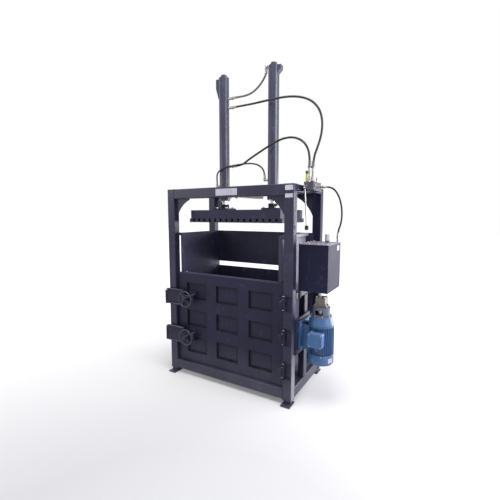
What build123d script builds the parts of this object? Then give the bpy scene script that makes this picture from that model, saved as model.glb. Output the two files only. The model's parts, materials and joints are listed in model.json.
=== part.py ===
from build123d import *
import math
import os

# Vertical recycling baler: a welded box-section frame, a side-hung door closed by two
# handwheel latches, and a pressing plate driven down by a pair of upright cylinders.
# Millimetres. X runs to the right, Y to the back and Z up. The origin lies on the floor
# at the middle of the four anchor holes.

# Frame
frame_width = 1450.0
frame_depth = 800.0
frame_height = 2000.0
foot_height = 50.0
column_width = 90.0
column_depth = 80.0
column_cap = 6.0
tube_wall = 5.0
tube_corner = 8.0
beam_height = 100.0
top_rail_height = 50.0
top_rail_width = 60.0
gusset_thickness = 10.0
gusset_nose = 12.0
front_gusset_leg = 180.0
rear_gusset_leg = 225.0
side_rail_drop = 1025.0
side_rail_size = 60.0
side_post_depth = 80.0
side_post_y = -60.0

# Feet
foot_plate = 12.0
foot_top_plate = 8.0
foot_lug = 42.0
foot_stub_inset = 10.0
anchor_hole_radius = 9.0

# Chamber
chamber_side_gap = 75.0
chamber_back_y = 312.0
wall_thickness = 8.0
wall_drop = 455.0
wall_bar = 30.0
hopper_front_y = -345.0
floor_thickness = 10.0
slot_drop = 3.0
slot_height = 54.0
back_rib_depth = 40.0
back_rib_height = 50.0
back_rib_shares = (0.2, 0.52, 0.83)
back_rib_drop = 165.0
strut_width = 40.0
strut_y = 200.0

# Door
door_recess = 35.0
door_lattice_depth = 18.0
door_panel_depth = 62.0
door_sheet = 8.0
door_liner_thickness = 6.0
door_gap = 5.0
door_free_gap = 10.0
door_drop = 428.0
window_columns = 3
window_rows = 3
lattice_edge_x = 117.0
lattice_edge_z = 100.5
lattice_rib_x = 128.0
lattice_rib_z = 118.0
window_corner = 6.0

# Door hinges
hinge_inset = 15.0
hinge_reach = 25.0
hinge_radius = 16.0
hinge_pin_radius = 8.0
hinge_length = 145.0
hinge_pitch_share = 0.3222
hinge_leaf = 6.0
hinge_leaf_width = 72.0
hinge_strap = 8.0
hinge_strap_width = 86.0
hinge_strap_height = 80.0
hinge_arm_width = 20.0
hinge_arm_gap = 9.0
hinge_knuckle_gap = 1.0
hinge_head = 5.0

# Latches
latch_offsets = (224.0, -186.0)
strap_overhang = 15.0
strap_length = 224.0
strap_height = 165.0
strap_web = 8.0
strap_flange = 25.0
strap_gap = 12.0
neck_height = 60.0
latch_pivot_reach = 340.0
latch_pivot_radius = 15.0
latch_pin_radius = 7.0
ear_thickness = 10.0
ear_pad = 8.0
ear_pad_height = 130.0
wheel_reach = 290.0
wheel_plane_gap = 50.0
wheel_radius = 80.0
wheel_rim = 8.0
wheel_hub_radius = 20.0
wheel_hub_length = 36.0
wheel_spoke_radius = 5.0
wheel_spokes = 4
spindle_radius = 12.0
spindle_boss_radius = 22.0
spindle_boss_length = 36.0
spindle_nose = 22.0
spindle_gap = 2.0
keeper_radius = 29.0
keeper_reach = 50.0
keeper_drop = 25.0
keeper_height = 145.0
keeper_lug = 20.0
keeper_strap_gap = 6.0

# Pressing plate, shown raised
platen_drop = 344.0
platen_height = 128.0
platen_side_gap = 12.0
platen_front_y = -250.0
platen_back_gap = 12.0
platen_end_inset = 18.0
platen_sheet = 10.0
platen_rib_offset = 60.0
bar_height = 40.0
bar_width = 44.0
bar_count = 16

# Cylinders
cylinder_x = 300.0
cylinder_y = 60.0
barrel_radius = 56.0
bore_radius = 45.0
barrel_top = 3200.0
barrel_cap = 40.0
barrel_boss_radius = 32.0
barrel_boss_height = 28.0
rod_radius = 27.5
rod_end_radius = 20.0
piston_height = 60.0
piston_top_gap = 30.0
gland_radius = 60.0
gland_height = 40.0
gland_spigot = 60.0
mount_plate_size = 250.0
mount_plate = 20.0
mount_bolt_pitch = 190.0
bearer_width = 60.0
centre_beam_width = 100.0
centre_beam_height = 85.0
port_block_reach = 30.0
port_block_half_depth = 28.0
left_block_height = 204.0
left_block_taper = 110.0
right_block_height = 70.0
right_block_taper = 30.0
port_block_drop = 8.0
flange_size = 180.0
flange_base = 22.0
flange_hub_radius = 48.0
flange_hub_height = 44.0
flange_floor = 6.0
flange_bolt_pitch = 130.0

# Fasteners
flange_bolt_radius = 10.0
mount_bolt_radius = 8.0
foot_bolt_radius = 6.0
bolt_head_ratio = 1.6
bolt_head_height = 0.65
bolt_play = 0.2

# Oil tank
tank_gap = 10.0
tank_width = 265.0
tank_front_y = -293.0
tank_length = 375.0
tank_lift = 82.0
tank_height = 416.0
tank_sheet = 4.0
lid_thickness = 5.0
lid_lip = 6.0
bracket_thickness = 8.0
bracket_width = 40.0
bracket_reach = 195.0
bracket_inset = 43.0
filler_reach = 173.0
filler_y = -20.0
neck_radius = 22.0
neck_bore = 17.0
neck_rise = 18.0
neck_depth = 14.0
cap_radius = 26.0
cap_height = 55.0
cap_ribs = 12
cap_crown = 5.0

# Motor and pump, on one upright axis
motor_reach = 187.0
motor_y = -165.0
motor_drop = 595.0
motor_length = 435.0
motor_core_radius = 105.0
motor_fin_radius = 118.0
motor_fin_width = 5.0
motor_fins = 36
fan_cover_height = 100.0
fan_cover_sheet = 3.0
fan_cover_round = 22.0
end_shield_height = 85.0
rotor_radius = 70.0
rotor_gap = 0.5
rotor_inset = 22.0
motor_shaft_radius = 20.0
fan_radius = 95.0
fan_height = 45.0
fan_lift = 20.0
fan_blades = 7
fan_blade_thickness = 5.0
fan_hub_radius = 34.0
grille_slots = 4
grille_slot = 8.0
grille_pitch = 14.0
motor_plate = 20.0
motor_plate_front_y = -350.0
motor_plate_back_y = -10.0
motor_plate_lift = 90.0
motor_plate_height = 330.0
motor_foot = 18.0
motor_foot_width = 270.0
motor_foot_lift = 120.0
motor_foot_height = 265.0
motor_web = 20.0
motor_web_offset = 60.0
foot_bolt_inset = 25.0
terminal_width = 130.0
terminal_height = 130.0
terminal_lift = 188.0
terminal_depth = 52.0
terminal_lid = 8.0
terminal_corner = 12.0
gland_body_radius = 12.0
gland_body_height = 18.0
gland_nut_width = 28.0
gland_nut_height = 12.0
gland_plug_radius = 7.0
gland_plug_height = 4.0
bell_height = 90.0
bell_radius = 80.0
bell_sheet = 8.0
bell_flange_radius = 95.0
bell_flange = 12.0
bell_window_width = 70.0
bell_window_height = 42.0
coupling_radius = 36.0
coupling_height = 46.0
pump_shaft_radius = 9.0
pump_shaft_depth = 10.0
pump_flange = 15.0
pump_flange_width = 116.0
pump_width = 88.0
pump_height = 75.0
suction_radius = 17.0
suction_offset = 20.0

# Control valve
shelf_thickness = 8.0
shelf_reach = 125.0
shelf_front_y = -235.0
shelf_back_y = -20.0
valve_gap = 20.0
valve_width = 90.0
valve_front_y = -225.0
valve_back_y = -25.0
valve_height = 75.0
spool_inset = 23.0
front_plug_place = (67.0, 30.0)
front_plug_size = (16.0, 42.0)
rear_plug_place = (20.0, 140.0)
rear_plug_size = (17.0, 48.0)
spool_drop = 35.0
spool_radius = 9.0
spool_end_wall = 41.0
spool_end_play = 12.0
tongue_thickness = 6.0
tongue_height = 16.0
tongue_length = 47.0
slot_width = 5.6
slot_length = 10.0
lever_pivot_y = -262.0
lever_arm = 22.0
lever_width = 13.4
lever_cheek = 3.0
lever_boss_radius = 9.0
lever_pin_radius = 2.5
lever_trunnion_radius = 4.0
lever_rod_radius = 6.0
lever_length = 328.0
lever_lean = 24.0
lever_ear = 7.0
lever_ear_gap = 0.3
knob_radius = 17.0
knob_height = 40.0
relief_inset = 19.0
relief_y = -200.0
relief_radius = 12.5
relief_height = 80.0
relief_knob_radius = 15.0
relief_knob_height = 15.0

# Fits
running_gap = 0.05

# Blank plates
plate_thickness = 2.0
name_plate_width = 245.0
name_plate_height = 64.0
name_plate_x = 32.0
label_width = 72.0
label_heights = (42.0, 34.0)
label_drops = (34.0, 102.0)
tank_label_width = 70.0
tank_label_height = 46.0
tank_label_inset = 40.0

# Hoses: outer radius, then the drawn route from end to end
hose_radius = 10.0
slim_hose_radius = 8.0
ferrule_extra = 3.0
elbow_reach = 1.5
port_reach = 54.0
cap_link_drop = 224.0
cap_elbow_inset = 85.0
cap_elbow_drop = 5.5
cap_port_drop = 320.0
rod_port_rise = 312.0
foot_elbow_rises = (120.0, 155.0)
foot_elbow_gaps = (34.0, 31.0)
foot_elbow_offsets = (-20.0, -22.0)
adaptor_height = 135.0
cap_adaptor_y = -140.0
rod_adaptor_y = -150.0
cap_adaptor_inset = 55.0
return_reach = 25.0
return_y = -40.0
return_drop = 37.0
lid_adaptor_inset = 16.0
lid_adaptor_y = 50.0
lid_adaptor_height = 47.0
hose_slack = 0.45
cap_link_drawn = (
    (-190, 60, 2976),
    (-112, 60, 2976),
    (-36, 60, 2974),
    (34, 60, 2984),
    (94, 60, 3010),
    (146, 60, 3050),
    (188, 60, 3098),
    (215, 60, 3145),
    (215, 60, 3194.5),
)
cap_supply_drawn = (
    (800, -140, 2160),
    (800, -140, 2245),
    (838, -140, 2335),
    (868, -137, 2440),
    (872, -132, 2550),
    (842, -125, 2655),
    (765, -114, 2745),
    (650, -99, 2802),
    (510, -82, 2832),
    (360, -66, 2840),
    (215, -40, 2845),
    (75, 5, 2858),
    (-65, 60, 2880),
    (-190, 60, 2880),
)
rod_supply_drawn = (
    (768, -150, 2160),
    (768, -150, 2250),
    (744, -148, 2340),
    (688, -142, 2405),
    (602, -128, 2445),
    (500, -110, 2452),
    (395, -90, 2430),
    (290, -70, 2392),
    (165, -45, 2344),
    (35, 0, 2300),
    (-80, 60, 2262),
    (-190, 60, 2262),
)
rod_link_drawn = (
    (-390, 40, 2070),
    (-390, 40, 2127),
    (-372, 14, 2178),
    (-325, -14, 2212),
    (-250, -32, 2236),
    (-165, -42, 2248),
    (-75, -46, 2254),
    (15, -43, 2260),
    (95, -31, 2260),
    (155, -9, 2246),
    (195, 17, 2216),
    (213, 38, 2165),
    (213, 38, 2105),
)
return_drawn = (
    (860, -40, 1988),
    (915, -40, 1988),
    (966, -34, 1962),
    (1001, -24, 1908),
    (1021, -9, 1838),
    (1027, 8, 1765),
    (1023, 22, 1700),
    (1010, 36, 1640),
    (984, 50, 1580),
    (984, 50, 1525),
)

# Lines that many pieces share
half_width = frame_width / 2
half_depth = frame_depth / 2
column_x = half_width - column_width / 2
column_y = half_depth - column_depth / 2
inner_x = half_width - column_width
inner_y = half_depth - column_depth
beam_top = foot_height + beam_height
chamber_x = inner_x - chamber_side_gap
wall_outer_x = chamber_x + wall_thickness
wall_top = frame_height - wall_drop
door_top = wall_top - door_drop
slot_bottom = door_top - slot_drop
floor_top = beam_top + floor_thickness
back_rib_heights = (*(floor_top + share * (slot_bottom - floor_top) for share in back_rib_shares),)
side_rail_x = half_width - side_rail_size / 2
side_rail_bottom = frame_height - side_rail_drop
door_front_y = -half_depth + door_recess
door_panel_y = door_front_y + door_lattice_depth
door_back_y = door_panel_y + door_panel_depth
door_bottom = beam_top + door_gap
door_left = -inner_x + door_free_gap
door_right = inner_x - door_gap
door_x = (door_left + door_right) / 2
door_width = door_right - door_left
door_height = door_top - door_bottom
door_z = (door_bottom + door_top) / 2
window_width = (door_width - 2 * lattice_edge_x - (window_columns - 1) * lattice_rib_x) / window_columns
window_height = (door_height - 2 * lattice_edge_z - (window_rows - 1) * lattice_rib_z) / window_rows
hinge_x = inner_x + hinge_inset
hinge_y = -half_depth - hinge_reach
hinge_pitch = door_height * hinge_pitch_share
hinge_heights = tuple(door_z + step * hinge_pitch for step in (-1, 0, 1))
latch_heights = tuple(door_z + offset for offset in latch_offsets)
strap_left = -half_width - strap_overhang
strap_right = strap_left + strap_length
latch_pivot_x = strap_left + latch_pivot_reach
wheel_x = strap_left + wheel_reach
keeper_x = -half_width - keeper_reach
strap_back_y = -half_depth - strap_gap
strap_y = strap_back_y - strap_web / 2
wheel_y = strap_y - wheel_plane_gap
knuckle_height = (hinge_length - 2 * hinge_knuckle_gap) / 3
platen_bottom = frame_height - platen_drop
platen_top = platen_bottom + platen_height
platen_half_width = chamber_x - platen_side_gap
platen_back_y = chamber_back_y - platen_back_gap
skirt_bottom = platen_bottom + bar_height
mount_top = frame_height - top_rail_height
mount_bottom = mount_top - mount_plate
barrel_height = barrel_top - mount_top
piston_top = barrel_top - barrel_cap - piston_top_gap
rod_bottom = platen_top + flange_floor
tank_left = half_width + tank_gap
tank_right = tank_left + tank_width
tank_bottom = side_rail_bottom + tank_lift
filler_x = tank_left + filler_reach
tank_top = tank_bottom + tank_height
lid_top = tank_top + lid_thickness
motor_x = half_width + motor_reach
motor_bottom = side_rail_bottom - motor_drop
motor_top = motor_bottom + motor_length
motor_plate_bottom = motor_bottom + motor_plate_lift
motor_foot_bottom = motor_bottom + motor_foot_lift
terminal_bottom = motor_bottom + terminal_lift
fan_cover_top = motor_bottom + fan_cover_height
shield_bottom = motor_top - end_shield_height
motor_plate_x = half_width + motor_plate
motor_foot_x = motor_plate_x + motor_foot
bell_top = motor_top + bell_height
pump_top = bell_top + pump_flange + pump_height
shelf_top = frame_height - top_rail_height
valve_top = shelf_top + valve_height
spool_z = valve_top - spool_drop
valve_left = half_width + valve_gap
valve_right = valve_left + valve_width
spool_x = valve_left + spool_inset
relief_x = valve_left + relief_inset
lever_pivot_z = spool_z - lever_arm
sides = (-1, 1)


def routed(drawn, start, end):
    """Carry a drawn route to its two ports: the end runs move with them, the rest by share."""
    start_shift = Vector(*start) - Vector(*drawn[0])
    end_shift = Vector(*end) - Vector(*drawn[-1])
    points = []
    for number, point in enumerate(drawn):
        share = min(max((number - 1) / (len(drawn) - 3), 0), 1)
        moved = Vector(*point) + start_shift * (1 - share) + end_shift * share
        points.append((moved.X, moved.Y, moved.Z))
    return tuple(points)


# Ports of the hoses on the barrels, the valve and the tank
barrel_side_x = cylinder_x - barrel_radius - port_reach
cap_link_start = (-barrel_side_x, cylinder_y, barrel_top - cap_link_drop)
cap_link_end = (cylinder_x - cap_elbow_inset, cylinder_y, barrel_top - cap_elbow_drop)
cap_supply_start = (valve_left + cap_adaptor_inset, cap_adaptor_y, valve_top + adaptor_height)
cap_supply_end = (-barrel_side_x, cylinder_y, barrel_top - cap_port_drop)
rod_supply_start = (spool_x, rod_adaptor_y, valve_top + adaptor_height)
rod_supply_end = (-barrel_side_x, cylinder_y, mount_top + rod_port_rise)
rod_link_start = (
    -cylinder_x - barrel_radius - foot_elbow_gaps[0],
    cylinder_y + foot_elbow_offsets[0],
    mount_top + foot_elbow_rises[0],
)
rod_link_end = (
    cylinder_x - barrel_radius - foot_elbow_gaps[1],
    cylinder_y + foot_elbow_offsets[1],
    mount_top + foot_elbow_rises[1],
)
return_start = (valve_right + return_reach, return_y, valve_top - return_drop)
return_end = (tank_right - lid_adaptor_inset, lid_adaptor_y, lid_top + lid_adaptor_height)
cap_link_route = routed(cap_link_drawn, cap_link_start, cap_link_end)
cap_supply_route = routed(cap_supply_drawn, cap_supply_start, cap_supply_end)
rod_supply_route = routed(rod_supply_drawn, rod_supply_start, rod_supply_end)
rod_link_route = routed(rod_link_drawn, rod_link_start, rod_link_end)
return_route = routed(return_drawn, return_start, return_end)

os.makedirs("parts", exist_ok=True)


def save(piece, label):
    """Name a finished piece and write it."""
    piece.label = label
    export_step(piece, f"parts/{label}.step")


def bar(start, end, mode=Mode.ADD):
    """Square-edged block between two opposite corners."""
    size = [abs(b - a) for a, b in zip(start, end)]
    middle = [(a + b) / 2 for a, b in zip(start, end)]
    with Locations(tuple(middle)):
        Box(*size, mode=mode)


def rod(start, end, radius, mode=Mode.ADD):
    """Round bar between two points."""
    along = Vector(*end) - Vector(*start)
    with BuildSketch(Plane(origin=start, z_dir=along)) as end_face:
        Circle(radius)
    extrude(end_face.sketch, amount=along.length, mode=mode)


def box_section(start, end, width, height):
    """Rolled box section between two points, its height kept upright."""
    along = Vector(*end) - Vector(*start)
    upright = abs(along.Z) > abs(along.X) + abs(along.Y)
    across = Vector(1, 0, 0) if upright else Vector(0, 0, 1).cross(along)
    with BuildSketch(Plane(origin=start, x_dir=across, z_dir=along)) as profile:
        RectangleRounded(width, height, tube_corner)
        RectangleRounded(
            width - 2 * tube_wall,
            height - 2 * tube_wall,
            tube_corner - tube_wall,
            mode=Mode.SUBTRACT,
        )
    extrude(profile.sketch, amount=along.length)


def hex_bolt(seat, along, radius, length):
    """Hexagon bolt: the head stands on the seat and the shank runs along a direction."""
    direction = Vector(*along)
    head_plane = Plane(origin=seat, z_dir=direction * -1)
    with BuildSketch(head_plane) as head:
        RegularPolygon(radius * bolt_head_ratio, 6, major_radius=False)
    extrude(head.sketch, amount=2 * radius * bolt_head_height)
    end = Vector(*seat) + direction * length
    rod(seat, (end.X, end.Y, end.Z), radius)


# Upright columns, open at the foot and capped at the top
for depth_name, y_side in (("front", -1), ("rear", 1)):
    for side_name, x_side in (("left", -1), ("right", 1)):
        foot_centre = (x_side * column_x, y_side * column_y, foot_height)
        column_height = frame_height - foot_height
        with BuildPart() as column:
            with BuildSketch(Plane(foot_centre)):
                RectangleRounded(column_width, column_depth, tube_corner)
            extrude(amount=column_height)
            with BuildSketch(Plane(foot_centre)):
                RectangleRounded(
                    column_width - 2 * tube_wall,
                    column_depth - 2 * tube_wall,
                    tube_corner - tube_wall,
                )
            extrude(amount=column_height - column_cap, mode=Mode.SUBTRACT)
        save(column.part, f"{depth_name}_{side_name}_column")

# Feet: anchor plate with a lug beyond the frame, a short stub and a top plate
foot_stub_width = column_width - 2 * foot_stub_inset
foot_stub_depth = column_depth - 2 * foot_stub_inset
with BuildPart() as feet:
    for x_side in sides:
        for y_side in sides:
            left = x_side * column_x - column_width / 2
            right = left + column_width
            bar((left, y_side * inner_y, 0), (right, y_side * (half_depth + foot_lug), foot_plate))
            stub_top = foot_height - foot_top_plate
            with BuildSketch(Plane((x_side * column_x, y_side * column_y, foot_plate))) as stub:
                Rectangle(foot_stub_width, foot_stub_depth)
                Rectangle(
                    foot_stub_width - 2 * tube_wall,
                    foot_stub_depth - 2 * tube_wall,
                    mode=Mode.SUBTRACT,
                )
            extrude(stub.sketch, amount=stub_top - foot_plate)
            bar((left, y_side * inner_y, stub_top), (right, y_side * half_depth, foot_height))
            with Locations((x_side * column_x, y_side * (half_depth + foot_lug / 2), foot_plate / 2)):
                Cylinder(anchor_hole_radius, foot_plate, mode=Mode.SUBTRACT)
save(feet.part, "feet")

# Base beams between the columns, with one bearer under the chamber floor
base_z = foot_height + beam_height / 2
with BuildPart() as cross_beams:
    for y in (-column_y, 0, column_y):
        box_section((-inner_x, y, base_z), (inner_x, y, base_z), column_depth, beam_height)
with BuildPart() as side_beams:
    for x_side in sides:
        x = x_side * column_x
        box_section((x, -inner_y, base_z), (x, inner_y, base_z), column_width, beam_height)
save(Compound(children=[cross_beams.part, side_beams.part]), "base_beams")

# Top beams: the front one is deep, the rear and side ones are shallow
top_rail_z = frame_height - top_rail_height / 2
with BuildPart() as top_beams:
    front_z = frame_height - beam_height / 2
    box_section((-inner_x, -column_y, front_z), (inner_x, -column_y, front_z), column_depth, beam_height)
    rear_start = (-inner_x, column_y, top_rail_z)
    box_section(rear_start, (inner_x, column_y, top_rail_z), column_depth, top_rail_height)
    for x_side in sides:
        x = x_side * (half_width - top_rail_width / 2)
        box_section((x, -inner_y, top_rail_z), (x, inner_y, top_rail_z), top_rail_width, top_rail_height)
save(top_beams.part, "top_beams")

# Corner gussets with a hollowed edge, under the front beam and the rear rail
gusset_corners = (
    (-column_y, frame_height - beam_height, front_gusset_leg),
    (column_y, frame_height - top_rail_height, rear_gusset_leg),
)
with BuildPart() as corner_gussets:
    for y, corner_z, leg in gusset_corners:
        for x_side in sides:
            hollow = leg * 0.43
            with BuildSketch(Plane(origin=(0, y, 0), x_dir=(1, 0, 0), z_dir=(0, -1, 0))) as plate:
                with BuildLine() as edge:
                    corner = (x_side * inner_x, corner_z)
                    tip = (x_side * (inner_x - leg), corner_z)
                    nose = (x_side * (inner_x - leg), corner_z - gusset_nose)
                    waist = (x_side * (inner_x - hollow), corner_z - hollow)
                    heel = (x_side * (inner_x - gusset_nose), corner_z - leg)
                    toe = (x_side * inner_x, corner_z - leg)
                    Line(corner, tip)
                    Line(tip, nose)
                    ThreePointArc(nose, waist, heel)
                    Line(heel, toe)
                    Line(toe, corner)
                make_face(edge.line)
            extrude(plate.sketch, amount=gusset_thickness / 2, both=True)
save(corner_gussets.part, "corner_gussets")

# Bearers that carry the cylinders, hung between the middle beam and the side rails
bearer_offset = mount_plate_size / 2 - bearer_width / 2
bearer_end = half_width - top_rail_width
mount_bolt_y = mount_bolt_pitch / 2
bolt_reach = mount_plate + 2 * tube_wall + mount_bolt_radius
bolt_places = [
    (x_side * cylinder_x + a * mount_bolt_y, cylinder_y + b * mount_bolt_y)
    for x_side in sides
    for a in sides
    for b in sides
]
with BuildPart() as cylinder_bearers:
    middle_z = frame_height - centre_beam_height / 2
    box_section((0, -inner_y, middle_z), (0, inner_y, middle_z), centre_beam_width, centre_beam_height)
    for x_side in sides:
        for step in sides:
            y = cylinder_y + step * bearer_offset
            start = (x_side * centre_beam_width / 2, y, top_rail_z)
            box_section(start, (x_side * bearer_end, y, top_rail_z), bearer_width, top_rail_height)
    for x, y in bolt_places:
        hole_top = mount_bottom + bolt_reach
        rod((x, y, mount_top), (x, y, hole_top), mount_bolt_radius + bolt_play, mode=Mode.SUBTRACT)
save(cylinder_bearers.part, "cylinder_bearers")

# Side rails half-way up, each with a post below
with BuildPart() as side_rails:
    for x_side in sides:
        x = x_side * side_rail_x
        z = side_rail_bottom + side_rail_size / 2
        box_section((x, -inner_y, z), (x, inner_y, z), side_rail_size, side_rail_size)
        post_top = (x, side_post_y, side_rail_bottom)
        box_section((x, side_post_y, beam_top), post_top, side_rail_size, side_post_depth)
save(side_rails.part, "side_rails")

# Chamber side walls, stepped at the door, with edge bars and struts to the frame
hopper_step_z = door_top + door_gap
wall_front_y = door_back_y + door_gap
with BuildPart() as side_walls:
    for x_side in sides:
        with BuildSketch(Plane(origin=(x_side * chamber_x, 0, 0), x_dir=(0, 1, 0), z_dir=(1, 0, 0))) as sheet:
            with BuildLine() as outline:
                Polyline(
                    (wall_front_y, floor_top),
                    (chamber_back_y, floor_top),
                    (chamber_back_y, wall_top),
                    (hopper_front_y, wall_top),
                    (hopper_front_y, hopper_step_z),
                    (wall_front_y, hopper_step_z),
                    close=True,
                )
            make_face(outline.line)
        extrude(sheet.sketch, amount=x_side * wall_thickness)
        outer = x_side * wall_outer_x
        bar_x = x_side * (wall_outer_x + wall_bar)
        bar_z = wall_top - wall_bar
        bar((outer, hopper_front_y, hopper_step_z), (bar_x, hopper_front_y + wall_bar, wall_top))
        bar((outer, hopper_front_y, bar_z), (bar_x, chamber_back_y, wall_top))
        tie_back_y = -inner_y - tube_corner
        bar((bar_x, hopper_front_y, bar_z), (x_side * inner_x, tie_back_y, wall_top))
        for y in (-strut_y, strut_y):
            strut_front = y - strut_width / 2
            strut_z = side_rail_bottom + tube_corner
            strut_end = (
                x_side * (half_width - side_rail_size),
                strut_front + strut_width,
                side_rail_bottom + side_rail_size - tube_corner,
            )
            bar((outer, strut_front, strut_z), strut_end)
save(side_walls.part, "side_walls")

# Back wall in two sheets with a strapping slot between them, ribbed behind
back_sheet_x = inner_x + wall_thickness + tube_corner
with BuildPart() as back_walls:
    slot_top = slot_bottom + slot_height
    back_y = chamber_back_y + wall_thickness
    bar((-back_sheet_x, chamber_back_y, floor_top), (back_sheet_x, back_y, slot_bottom))
    bar((-back_sheet_x, chamber_back_y, slot_top), (back_sheet_x, back_y, wall_top))
    rib_y = back_y + back_rib_depth / 2
    for z in (*back_rib_heights, wall_top - back_rib_drop):
        box_section((-inner_x, rib_y, z), (inner_x, rib_y, z), back_rib_depth, back_rib_height)
save(back_walls.part, "back_walls")

# Chamber floor on the base beams
with BuildPart() as chamber_floor:
    floor_x = half_width - side_rail_size
    bar((-floor_x, wall_front_y, beam_top), (floor_x, chamber_back_y + wall_thickness, floor_top))
save(chamber_floor.part, "chamber_floor")

# Door shell, a tray open to the chamber
with BuildPart() as door_panel:
    bar((door_left, door_panel_y, door_bottom), (door_right, door_back_y, door_top))
    pocket = (door_left + door_sheet, door_panel_y + door_sheet, door_bottom + door_sheet)
    pocket_end = (door_right - door_sheet, door_back_y, door_top - door_sheet)
    bar(pocket, pocket_end, mode=Mode.SUBTRACT)
save(door_panel.part, "door_panel")

# Smooth sheet that closes the door shell on the chamber side
with BuildPart() as door_liner:
    liner_start = (door_left + door_sheet, door_back_y - door_liner_thickness, door_bottom + door_sheet)
    bar(liner_start, (door_right - door_sheet, door_back_y, door_top - door_sheet))
save(door_liner.part, "door_liner")

# Raised grid on the door front
with BuildPart() as door_lattice:
    with BuildSketch(Plane(origin=(door_x, door_panel_y, door_z), x_dir=(1, 0, 0), z_dir=(0, -1, 0))):
        Rectangle(door_width, door_height)
        pitch_x = window_width + lattice_rib_x
        pitch_z = window_height + lattice_rib_z
        with GridLocations(pitch_x, pitch_z, window_columns, window_rows):
            RectangleRounded(window_width, window_height, window_corner, mode=Mode.SUBTRACT)
    extrude(amount=door_lattice_depth)
save(door_lattice.part, "door_lattice")

# Latch brackets on the grid: a pad that the spindle presses on, and two ears for the arm
ear_gap = neck_height / 2 + hinge_knuckle_gap
pad_left = wheel_x - spindle_boss_radius
pad_right = latch_pivot_x + latch_pivot_radius
with BuildPart() as latch_brackets:
    for z in latch_heights:
        pad = (pad_left, door_front_y - ear_pad, z - ear_pad_height / 2)
        bar(pad, (pad_right, door_front_y, z + ear_pad_height / 2))
        for ear_z in (z + ear_gap, z - ear_gap - ear_thickness):
            ear_left = latch_pivot_x - latch_pivot_radius
            bar((ear_left, strap_y, ear_z), (pad_right, door_front_y, ear_z + ear_thickness))
            tip = (latch_pivot_x, strap_y, ear_z)
            tip_top = (latch_pivot_x, strap_y, ear_z + ear_thickness)
            rod(tip, tip_top, latch_pivot_radius)
            rod(tip, tip_top, latch_pin_radius + running_gap, mode=Mode.SUBTRACT)
save(latch_brackets.part, "latch_brackets")

# Door side of the hinges: a strap on the grid and an arm out to the middle knuckle
arm_right = inner_x - hinge_arm_gap
arm_left = arm_right - hinge_arm_width
with BuildPart() as door_hinge_leaves:
    for z in hinge_heights:
        low = z - knuckle_height / 2
        high = z + knuckle_height / 2
        strap_low = (arm_right - hinge_strap_width, door_front_y - hinge_strap, z - hinge_strap_height / 2)
        bar(strap_low, (arm_right, door_front_y, z + hinge_strap_height / 2))
        bar((arm_left, hinge_y - hinge_radius, low), (arm_right, door_front_y, high))
        bar((arm_left, hinge_y - hinge_radius, low), (hinge_x, hinge_y + hinge_radius, high))
        rod((hinge_x, hinge_y, low), (hinge_x, hinge_y, high), hinge_radius)
        bore = hinge_pin_radius + running_gap
        rod((hinge_x, hinge_y, low), (hinge_x, hinge_y, high), bore, mode=Mode.SUBTRACT)
save(door_hinge_leaves.part, "door_hinge_leaves")

# Frame side of the hinges: a leaf on the column with an upper and a lower knuckle
with BuildPart() as frame_hinge_leaves:
    leaf_left = column_x - hinge_leaf_width / 2
    for z in hinge_heights:
        leaf = (leaf_left, -half_depth - hinge_leaf, z - hinge_length / 2)
        bar(leaf, (leaf_left + hinge_leaf_width, -half_depth, z + hinge_length / 2))
        for low in (z - hinge_length / 2, z + hinge_length / 2 - knuckle_height):
            high = low + knuckle_height
            bar((leaf_left, hinge_y, low), (hinge_x + hinge_radius, -half_depth, high))
            rod((hinge_x, hinge_y, low), (hinge_x, hinge_y, high), hinge_radius)
            bore = hinge_pin_radius + running_gap
            rod((hinge_x, hinge_y, low), (hinge_x, hinge_y, high), bore, mode=Mode.SUBTRACT)
save(frame_hinge_leaves.part, "frame_hinge_leaves")

# Hinge pins, headed at the top
with BuildPart() as hinge_pins:
    for z in hinge_heights:
        top = z + hinge_length / 2
        rod((hinge_x, hinge_y, z - hinge_length / 2), (hinge_x, hinge_y, top), hinge_pin_radius)
        rod((hinge_x, hinge_y, top), (hinge_x, hinge_y, top + hinge_head), hinge_radius - hinge_head)
save(hinge_pins.part, "hinge_pins")

# Keeper bars beside the left column, behind the ends of the latch straps
keeper_y = strap_back_y + keeper_strap_gap + keeper_radius
with BuildPart() as latch_keepers:
    for z in latch_heights:
        low = z - keeper_drop - keeper_height / 2
        high = low + keeper_height
        rod((keeper_x, keeper_y, low), (keeper_x, keeper_y, high), keeper_radius)
        for lug_z in (low, high - keeper_lug):
            lug = (keeper_x, keeper_y - keeper_radius / 2, lug_z)
            bar(lug, (-half_width, keeper_y + keeper_radius / 2, lug_z + keeper_lug))
save(latch_keepers.part, "latch_keepers")

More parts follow.
